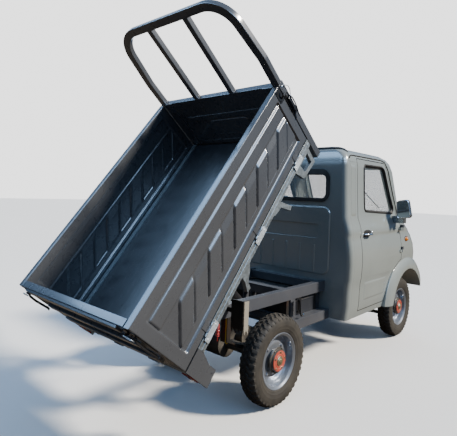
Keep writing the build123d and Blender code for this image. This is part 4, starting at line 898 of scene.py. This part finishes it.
# Levers, catches and pins on the rear end: y, w, u
REAR_U = (-0.0030, 0.0002)
REAR_PLATE = rect(0.4965, 0.205, 0.5255, 0.380)
REAR_LEVER = mm(
    (511, 352, -8), (512, 330, -18), (512, 285, -21), (511, 235, -19), (510, 196, -16), (509, 180, -20),
)
REAR_PIN = mm((498.5, 345, -8), (523.5, 345, -8))
GATE_PLATE = rect(0.4430, 0.318, 0.4840, 0.408)
GATE_BOLTS = mm((463.5, 332, -2.8), (463.5, 394, -2.8))
GATE_HOOK = mm((462, 352, -2), (466, 364, -12), (474, 374, -16), (482, 378, -13))
GATE_WIRE = mm((468, 382), (488, 390), (520, 368), (524, 350), (500, 348), (476, 362))
GATE_WIRE_U = -0.0245
# Bars: radius, sides, closed, flatness
POST_LEVER_BAR = (0.0095, 10, False, 0.42)
POST_STRAP_BAR = (0.0070, 10, False, 0.5)
CATCH_BAR = (0.0060, 10, False, 0.7)
REAR_LEVER_BAR = (0.0090, 10, False, 0.45)
GATE_BAR = (0.0055, 10, False, 0.7)
# Bolt heads: radius, height
CORNER_HEAD = (0.0045, 0.0030)
LATCH_HEAD = (0.0055, 0.0040)
GATE_HEAD = (0.0050, 0.0038)
PIN_R = 0.0042
WIRE_R = 0.0022
BACKWARD = bed(-1, 0, 0) - bed(0, 0, 0)

for name, side in SIDES:
    board = "side_board_" + name
    out = Vector((0, side, 0))

    def on_bed(u, w, y):
        return bed(u, side * y, w)

    def on_rear(y, w, u):
        return bed(u, side * y, w)

    bm = bmesh.new()
    for u in HINGE_U:
        outline = rounded(rect(u - HINGE_HALF, HINGE_W[0], u + HINGE_HALF, HINGE_W[1]), 0.004, 3)
        prism(bm, outline, *HINGE_Y, on_bed)
    round_edges(bm, 0.0008, 40, 1)
    for u in HINGE_U:
        for step in (-RIVET_STEP, RIVET_STEP):
            rivet = on_bed(u + step, RIVET_W, HINGE_Y[1])
            dome(bm, rivet, Vector((-side, 0, 0)), UP, *RIVET)
    put("hinge_plates_" + name, bm, "bed", "plate_zinc", 30)
    bm = bmesh.new()
    prism(bm, SILL_LIP, *SILL_LIP_Y, on_bed)
    round_edges(bm, 0.0010, 40, 1)
    put("sill_lip_" + name, bm, "bed", "bed_rail", 30)
    bm = bmesh.new()
    prism(bm, CORNER, *CORNER_Y, on_bed)
    round_edges(bm, 0.0015, 30)
    bolt(bm, on_bed(*CORNER_BOLT), out, *CORNER_HEAD)
    put("corner_plate_" + name, bm, "bed", "bed_paint", 35)

    # Front latch: lever and strap on the post, catch on the board
    bm = bmesh.new()
    prism(bm, rounded(POST_PLATE, 0.008, 3), *LATCH_Y, on_bed)
    for u, w in POST_BOLTS:
        bolt(bm, on_bed(u, w, LATCH_BOLT_Y), out, *LATCH_HEAD)
    tube(bm, [on_bed(*p) for p in POST_LEVER], *POST_LEVER_BAR)
    tube(bm, [on_bed(*p) for p in POST_STRAP], *POST_STRAP_BAR)
    tube(bm, [on_bed(*p) for p in POST_PIN], PIN_R)
    put("post_latch_" + name, bm, "bed", "latch_dark", 35)
    wire = [on_bed(p.x, p.y, POST_WIRE_Y) for p in rounded(POST_WIRE, 0.008, 4)]
    bar("post_wire_" + name, wire, WIRE_R, "bed", "bright_steel", closed=True, crease=60)
    bm = bmesh.new()
    prism(bm, rounded(CATCH_PLATE, 0.007, 3), *LATCH_Y, on_bed)
    for u, w in CATCH_BOLTS:
        bolt(bm, on_bed(u, w, LATCH_BOLT_Y), out, *LATCH_HEAD)
    tube(bm, [on_bed(*p) for p in CATCH_HOOK], *CATCH_BAR)
    put("board_catch_" + name, bm, board, "latch_dark", 35)

    # Rear latch: lever on the end of the board, wire and catch on the tailgate
    bm = bmesh.new()
    prism(bm, rounded(REAR_PLATE, 0.006, 3), *REAR_U, on_rear)
    tube(bm, [on_rear(*p) for p in REAR_LEVER], *REAR_LEVER_BAR)
    tube(bm, [on_rear(*p) for p in REAR_PIN], PIN_R)
    put("rear_lever_" + name, bm, board, "latch_dark", 35)
    bm = bmesh.new()
    prism(bm, rounded(GATE_PLATE, 0.006, 3), *REAR_U, on_rear)
    for p in GATE_BOLTS:
        bolt(bm, on_rear(*p), BACKWARD, *GATE_HEAD)
    tube(bm, [on_rear(*p) for p in GATE_HOOK], *GATE_BAR)
    put("gate_catch_" + name, bm, "tailgate", "latch_dark", 35)
    wire = [on_rear(p.x, p.y, GATE_WIRE_U) for p in rounded(GATE_WIRE, 0.006, 4)]
    bar("gate_wire_" + name, wire, WIRE_R, "tailgate", "bright_steel", closed=True, crease=60)


# Drop boards as pressed sheet: sunk panel, raised field and leaning pads with soft edges
BOARD_T = 0.038
BOARD_LOW = 0.003
PAD_LEAN = 1.075
PAD_Z = (0.088, 0.254)
PAD_FOOT = 0.055
PAD_PITCH = 0.140
PAD_W = 0.134
PAD_COUNT = 10
PAD_FACE_TOP = (0.238, 0.212)
PRESS_SOFT = 0.008
GRID = 0.005
RIM = 0.0025
PANEL_U = (0.066, 1.468)
PANEL_W = (0.046, 0.362)
FIELD_U = (0.072, 1.462)
FIELD_W = (0.258, 0.342)
# Depth of the panel, of the field in it, and of the two kinds of pad
OUTER_DEPTHS = (0.012, -0.008, (-0.011, -0.008))
INNER_DEPTHS = (0.009, 0.004, (0.006, 0.004))
BARREL_Y = 0.536
BARREL_W = -0.0015
BARREL_R = 0.006
KNUCKLE_HALF = 0.020
KNUCKLE_IN = 0.525
# Bridge and leaf of a knuckle: how far out, how high
KNUCKLE_PLATES = ((BARREL_Y, 0.0105), (0.533, 0.0445))


def ramp(value, low, high):
    share = min(1, max(0, (value - low) / (high - low)))
    return share * share * (3 - 2 * share)


def between(value, low, high, soft=PRESS_SOFT):
    return ramp(value, low, low + soft) * ramp(value, high, high - soft)


def pressing(u, w, panel, field, pads):
    """Depth of a board's face under its flat rim."""
    depth = panel * between(u, *PANEL_U) * between(w, *PANEL_W)
    inside = between(u, *FIELD_U)
    depth += field * inside * between(w, *FIELD_W)
    along = u - (w - PAD_Z[0]) * PAD_LEAN - PAD_FOOT
    count = int(along // PAD_PITCH)
    if 0 <= count < PAD_COUNT:
        kind = count % 2
        across = between(along - count * PAD_PITCH, 0, PAD_W)
        slope = min(1, max(0, (PAD_Z[1] - w) / (PAD_Z[1] - PAD_FACE_TOP[kind])))
        depth += pads[kind] * inside * across * slope * ramp(w, PAD_Z[0] - 0.001, PAD_Z[0] + 0.007)
    return depth


def stops(low, high, gap):
    """Even grid lines between two edges, with one more close to each edge."""
    count = int((high - low - 2 * RIM) / gap)
    step = (high - low - 2 * RIM) / count
    return [low] + [low + RIM + step * k for k in range(count + 1)] + [high]


def sheet_grid(bm, us, ws, place):
    """A grid of faces; place(u, w, rim) gives each corner, rim being true on the outline."""
    grid = []
    for u in us:
        rims = (u in (us[0], us[-1]), (ws[0], ws[-1]))
        grid.append([bm.verts.new(place(u, w, rims[0] or w in rims[1])) for w in ws])
    bridge(bm, grid, False)
    top = [row[-1] for row in grid]
    foot = [row[0] for row in grid]
    return foot + grid[-1][1:] + top[-2::-1] + grid[0][-2:0:-1]


def knuckle(bm, u, side):
    """The board's half of a hinge: barrel, bridge and leaf."""
    start, end = u - KNUCKLE_HALF, u + KNUCKLE_HALF
    tube(bm, [bed(a, side * BARREL_Y, BARREL_W) for a in (start, end)], BARREL_R, 16)
    for y, high in KNUCKLE_PLATES:
        foot = rect(start, KNUCKLE_IN, end, y)
        hexa(bm, [bed(a, side * b, w) for w in (BARREL_W, high) for a, b in foot])


for name, side in SIDES:
    bm = bmesh.new()
    us = stops(0, BED_L, GRID)
    ws = stops(BOARD_LOW, BOARD_H, GRID)

    def outer(u, w, rim):
        depth = RIM if rim else pressing(u, w, *OUTER_DEPTHS)
        return bed(u, side * (BED_HALF - depth), w)

    def inner(u, w, rim):
        depth = RIM if rim else pressing(u, w, *INNER_DEPTHS)
        return bed(u, side * (BED_HALF - BOARD_T + depth), w)

    out_rim = sheet_grid(bm, us, ws, outer)
    in_rim = sheet_grid(bm, us, ws, inner)
    bridge(bm, (out_rim, in_rim))
    bmesh.ops.recalc_face_normals(bm, faces=bm.faces)
    for u in HINGE_U:
        knuckle(bm, u, side)
    node = "side_board_" + name
    put(node + "_skin", bm, node, "bed_paint", 50, (node,))


# Seat: a stuffed bench cushion and back rest with sewn channels
SEAT_HALF = 0.434
SEAT_VOXEL = 0.006
SEAT_SWELL = 0.022
SEAT_FRAMES = 20
CHANNEL_W = 0.007
CHANNEL_DEEP = 0.012
CHANNELS = (-0.300, -0.150, 0.0, 0.150, 0.300)
SEAT_PRESSURE = 4
SEAT_ROUND = 0.010
# Name, outline of (x, z), the way that the sewn face looks
SEAT_PADS = (
    ("seat_cushion", ((0.884, 0.654), (1.276, 0.652), (1.284, 0.738), (0.992, 0.722), (0.884, 0.716)),
     Vector((0.08, 0, 0.997))),
    ("seat_back", ((0.876, 0.742), (0.962, 0.752), (0.896, 1.180), (0.876, 1.180)),
     Vector((0.985, 0, 0.17))),
)


def evaluated(obj):
    return bpy.data.meshes.new_from_object(obj.evaluated_get(bpy.context.evaluated_depsgraph_get()))


def stuffed(name, outline):
    """A padded block: evenly remeshed, blown up as cloth and held within the swell."""
    bm = bmesh.new()
    prism(bm, outline, -SEAT_HALF, SEAT_HALF, lambda a, b, c: at(a, c, b))
    round_edges(bm, SEAT_ROUND, 20, 3)
    mesh = bpy.data.meshes.new(name + "_block")
    bm.to_mesh(mesh)
    bm.free()
    block = as_object(name + "_block", mesh)
    even = block.modifiers.new("even", "REMESH")
    even.mode = "VOXEL"
    even.voxel_size = SEAT_VOXEL
    cover = as_object(name, evaluated(block))
    bpy.data.objects.remove(block)
    start = [v.co.copy() for v in cover.data.vertices]
    cloth = cover.modifiers.new("stuffing", "CLOTH")
    cloth.settings.use_pressure = True
    cloth.settings.uniform_pressure_force = SEAT_PRESSURE
    cloth.settings.effector_weights.gravity = 0
    cloth.point_cache.frame_start = 1
    cloth.point_cache.frame_end = SEAT_FRAMES
    for count in range(1, SEAT_FRAMES + 1):
        SCENE.frame_set(count)
    blown = evaluated(cover)
    cover.modifiers.clear()
    SCENE.frame_set(1)
    for v, old, new in zip(cover.data.vertices, start, blown.vertices):
        step = new.co - old
        v.co = old + step * min(1, SEAT_SWELL / max(step.length, 1e-9))
    return cover


for name, outline, face in SEAT_PADS:
    cover = stuffed(name, outline)
    cover.data.update()
    ways = [v.normal.copy() for v in cover.data.vertices]
    for v, way in zip(cover.data.vertices, ways):
        facing = max(0, way.dot(face))
        dip = sum(exp(-(((v.co.y - y) / CHANNEL_W) ** 2)) for y in CHANNELS)
        v.co -= face * (CHANNEL_DEEP * facing * min(1, dip))
    for polygon in cover.data.polygons:
        polygon.use_smooth = True
    cover.data.materials.clear()
    cover.data.materials.append(MATS["seat_cover"])
    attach(cover, BODY["seat"])
    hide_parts("seat")


# Front: lamp bezels and lenses, a slatted grille
LAMP = rect(0.324, 0.694, 0.486, 0.826)
LAMP_PROUD = 0.010
LAMP_Z = 0.760
LAMP_TURN = 0.022
BEZEL_R = 0.0065
LENS_RISE = 0.012
LENS_SQUARE = 2.6
# Lenses: name, y, half width, half height, material, slot
LAMP_LENSES = (
    ("main", 0.378, 0.046, 0.054, "lamp_lens", "lamp_lens"),
    ("turn", 0.455, 0.022, 0.050, "amber_lens", None),
)
GRILLE_HALF = 0.250
GRILLE_Z = (0.588, 0.664)
GRILLE_X = (-0.006, 0.002)
GRILLE_TURN = 0.018
GRILLE_RIM_R = 0.005
SLATS = 4
SLAT_OUT = 0.003
SLAT_R = 0.0055
SLAT_HALF = GRILLE_HALF - 0.012


def on_front(y, z, out=0.0):
    """A point of the nose, moved out along the way that the skin looks."""
    step = 0.002
    across = Vector((front_x(y + step, z) - front_x(y - step, z), 2 * step, 0))
    up = Vector((front_x(y, z + step) - front_x(y, z - step), 0, 2 * step))
    look = across.cross(up).normalized()
    return at(front_x(y, z), y, z) + look * out, look


for name, side in SIDES:
    bezel = ring(rounded(LAMP, LAMP_TURN), 0.015)
    bezel = [on_front(side * p.x, p.y, LAMP_PROUD - 0.001)[0] for p in bezel]
    bar("lamp_bezel_" + name, bezel, BEZEL_R, "chassis", "rod_chrome", closed=True)
    for part, y, wide, tall, mat, slot in LAMP_LENSES:
        spot, look = on_front(side * y, LAMP_Z, LAMP_PROUD + 0.0005)
        right = UP.cross(look).normalized()
        bm = bmesh.new()
        dome(bm, spot, right, look.cross(right), wide, tall, LENS_RISE, LENS_SQUARE, skirt=0.008)
        put("lamp_" + part + "_" + name, bm, "chassis", mat)
bm = bmesh.new()
outline = rounded(rect(-GRILLE_HALF, GRILLE_Z[0], GRILLE_HALF, GRILLE_Z[1]), GRILLE_TURN)
prism(bm, outline, *GRILLE_X, lambda a, b, c: at(NOSE_X + c, a, b))
for k in range(SLATS):
    z = GRILLE_Z[0] + (GRILLE_Z[1] - GRILLE_Z[0]) * (k + 0.5) / SLATS
    tube(bm, [at(NOSE_X + SLAT_OUT, y, z) for y in (-SLAT_HALF, SLAT_HALF)], SLAT_R)
tube(bm, [at(NOSE_X + GRILLE_X[1], p.x, p.y) for p in ring(outline)], GRILLE_RIM_R, closed=True)
put("front_grille", bm, "chassis", "trim_plastic", 35)

# Chassis: battery lid and straps, spring clamps, stay plate with its lever
BATTERY_LID = rect(0.397, -0.333, 0.768, 0.333)
BATTERY_LID_Z = (0.512, 0.524)
STRAP_X = (0.470, 0.695)
STRAP_HALF = 0.014
STRAP_Y = (0.3335, 0.3365)
STRAP_Z = (0.362, 0.545, 0.548)
STRAP_BOLT_Z = 0.400
CLAMP_X = (-0.034, 0.034)
# Spring clamp: y, z
CLAMP = mm((314, 388), (314, 222), (320, 212), (350, 212), (356, 222), (356, 388))
CLAMP_NUT_Z = 0.378
STAY_PLATE = rect(0.338, 0.470, 0.392, 0.572)
STAY_Y = (0.4005, 0.4045)
STAY_BOLTS = mm((350, 484), (380, 484), (362, 556))
# Stay lever: x, z, y
STAY_LEVER = mm(
    (362, 555, 410), (364, 520, 415), (368, 470, 415), (380, 448, 415), (400, 446, 415), (412, 460, 415),
)
bm = bmesh.new()
prism(bm, rounded(BATTERY_LID, 0.014), *BATTERY_LID_Z, at)
round_edges(bm, 0.003, 40)
put("battery_lid", bm, "chassis", "battery_case")
bm = bmesh.new()
near, far = STRAP_Y
foot, under, top = STRAP_Z
strap = [(-far, foot), (-far, top), (far, top), (far, foot)]
strap += [(near, foot), (near, under), (-near, under), (-near, foot)]
for x in STRAP_X:
    prism(bm, strap, x - STRAP_HALF, x + STRAP_HALF, lambda a, b, c: at(c, a, b))
    for side in (1, -1):
        bolt(bm, at(x, side * far, STRAP_BOLT_Z), Vector((0, side, 0)), 0.007, 0.006)
put("battery_straps", bm, "chassis", "latch_dark", 30)
bm = bmesh.new()
for side in (1, -1):
    for x in CLAMP_X:
        tube(bm, [at(x, side * y, z) for y, z in CLAMP], 0.0055, 10)
        for y in (CLAMP[0][0], CLAMP[-1][0]):
            bolt(bm, at(x, side * y, CLAMP_NUT_Z), UP, 0.009, 0.008)
put("spring_clamps", bm, "chassis", "zinc")
bm = bmesh.new()
prism(bm, rounded(STAY_PLATE, 0.008), *STAY_Y, lambda a, b, c: at(a, -c, b))
tube(bm, [at(x, -y, z) for x, z, y in STAY_LEVER], 0.0055)
for x, z in STAY_BOLTS:
    bolt(bm, at(x, -STAY_Y[1], z), Vector((0, -1, 0)), 0.0065, 0.006)
put("stay_plate", bm, "chassis", "latch_dark", 35)

# Brake return spring and lashing loop under the right rail
COIL_AT = (-0.344, -0.318)
COIL_R = 0.009
COIL_TOP = 0.520
COIL_LONG = 0.075
COIL_TURNS = 9
COIL_STEPS = 12
COIL_ENDS = ((0.556, 0.528), (0.438, 0.418))
LINK = rect(-0.309, 0.405, -0.285, 0.556)
LINK_Y = -0.350
coil = []
for k in range(COIL_TURNS * COIL_STEPS + 1):
    a = 2 * pi * k / COIL_STEPS
    z = COIL_TOP - COIL_LONG * k / (COIL_TURNS * COIL_STEPS)
    coil.append(at(COIL_AT[0] + COIL_R * cos(a), COIL_AT[1] + COIL_R * sin(a), z))
hook_top, hook_foot = ([at(*COIL_AT, z) for z in end] for end in COIL_ENDS)
spring = hook_top + coil + hook_foot
bar("brake_spring", spring, 0.0024, "chassis", "red_spring", 6, crease=60)
link = [at(p.x, LINK_Y, p.y) for p in ring(rounded(LINK, 0.0118, 6), 0.02)]
bar("lashing_loop", link, 0.0042, "chassis", "yellow_tag", closed=True, crease=60)

# Mud flaps: torn lower edge, and a side strip toward the wheel, pale with dust and with painted sunlight on
# black rubber
FRINGE_Y = (0.398, 0.486)
FRINGE_Z = (0.515, 0.545)
FRINGE_X = (-0.3245, -0.3195)
STRIP_X = (-0.318, -0.280)
STRIP_Z = (0.512, 0.668)
STRIP_Y = (0.4835, 0.4880)
TEETH = (0.026, 0.014, 0.030, 0.018, 0.024, 0.010, 0.028)
STRIP_TEETH = TEETH[:3]


def torn(start, end, foot, top, teeth):
    """An upright strip whose lower edge is torn into teeth."""
    outline = [(end, top), (start, top)]
    step = (end - start) / len(teeth)
    for k, drop in enumerate(teeth):
        for share, deep in ((0, 0), (0.45, 1), (0.7, 0.9)):
            outline.append((start + step * (k + share), foot - drop * deep))
    return outline + [(end, foot)]


for name, side in SIDES:
    bm = bmesh.new()
    prism(bm, torn(*FRINGE_Y, *FRINGE_Z, TEETH), *FRINGE_X, lambda a, b, c: at(c, side * a, b))
    put("flap_fringe_" + name, bm, "chassis", "rubber_tyre", 30)
    bm = bmesh.new()
    prism(bm, torn(*STRIP_X, *STRIP_Z, STRIP_TEETH), *STRIP_Y, lambda a, b, c: at(a, side * c, b))
    # pale colour: dust and painted sunlight on the flap's side
    put("flap_side_" + name, bm, "chassis", "dusty_rubber", 30)


# Floor and sky: the camera sees both pale, while earth and blue sky light the vehicle
FLOOR_HALF = 40
FLOOR_PALE = (0.9, 0.9, 0.89, 1)
FLOOR_ROUGH = 0.9
EARTH = (0.10, 0.08, 0.06, 1)
SKY = (0.36, 0.60, 1.0, 1)
SKY_RISE = (0.0, 0.8)
SKY_STRENGTH = (0.14, 0.75)
BACKDROP = (1, 1, 1, 1)
BACKDROP_STRENGTH = 2.4
mesh = bpy.data.meshes.new("floor")
corners = [(x, y, 0) for x, y in rect(-FLOOR_HALF, -FLOOR_HALF, FLOOR_HALF, FLOOR_HALF)]
mesh.from_pydata(corners, [], [(0, 1, 2, 3)])
floor = as_object("floor", mesh)
net = Net("floor_pale")
net.set(Base_Color=FLOOR_PALE, Roughness=FLOOR_ROUGH)
net.for_camera(net.skin, net.node("BsdfDiffuse", {"Color": EARTH}))
mesh.materials.append(net.mat)
net = Net("sky", bpy.data.worlds, "Background")
SCENE.world = net.mat
rise = net.node("SeparateXYZ", {"Vector": net.coord.outputs["Generated"]}).outputs["Z"]
net.set(Color=SKY, Strength=net.band(rise, *SKY_RISE, *SKY_STRENGTH))
net.for_camera(net.node("Background", {"Color": BACKDROP, "Strength": BACKDROP_STRENGTH}), net.skin)

# Lights: a key from front right, a soft fill from front left, two sky panels for the gloss
# Suns: name, way toward the sun, strength, spread in degrees, colour
SUNS = (
    ("key", (0.42, -0.68, 0.60), 7.5, 8, (1, 0.92, 0.80)),
    ("fill", (0.55, 0.72, 0.42), 0.9, 40, (0.85, 0.92, 1)),
)
# Panels: name, place, width, height, power
PANELS = (
    ("sheen_back", (-5.0, 2.4, 6.5), 10, 6, 1250),
    ("sheen_right", (-1.0, -6.5, 5.6), 7, 3, 650),
)
PANEL_COLOUR = (0.42, 0.66, 1)
PANEL_AIM = Vector((0, 0, 0.8))
for name, toward, strength, spread, colour in SUNS:
    lamp = bpy.data.lights.new(name, "SUN")
    lamp.energy = strength
    lamp.angle = radians(spread)
    lamp.color = colour
    obj = as_object(name, lamp)
    obj.rotation_euler = Vector(toward).to_track_quat("Z", "Y").to_euler()
for name, spot, wide, tall, power in PANELS:
    panel = bpy.data.lights.new(name, "AREA")
    panel.shape = "RECTANGLE"
    panel.size = wide
    panel.size_y = tall
    panel.energy = power
    panel.color = PANEL_COLOUR
    obj = as_object(name, panel)
    obj.location = spot
    obj.rotation_euler = (Vector(spot) - PANEL_AIM).to_track_quat("Z", "Y").to_euler()
    obj.visible_diffuse = False
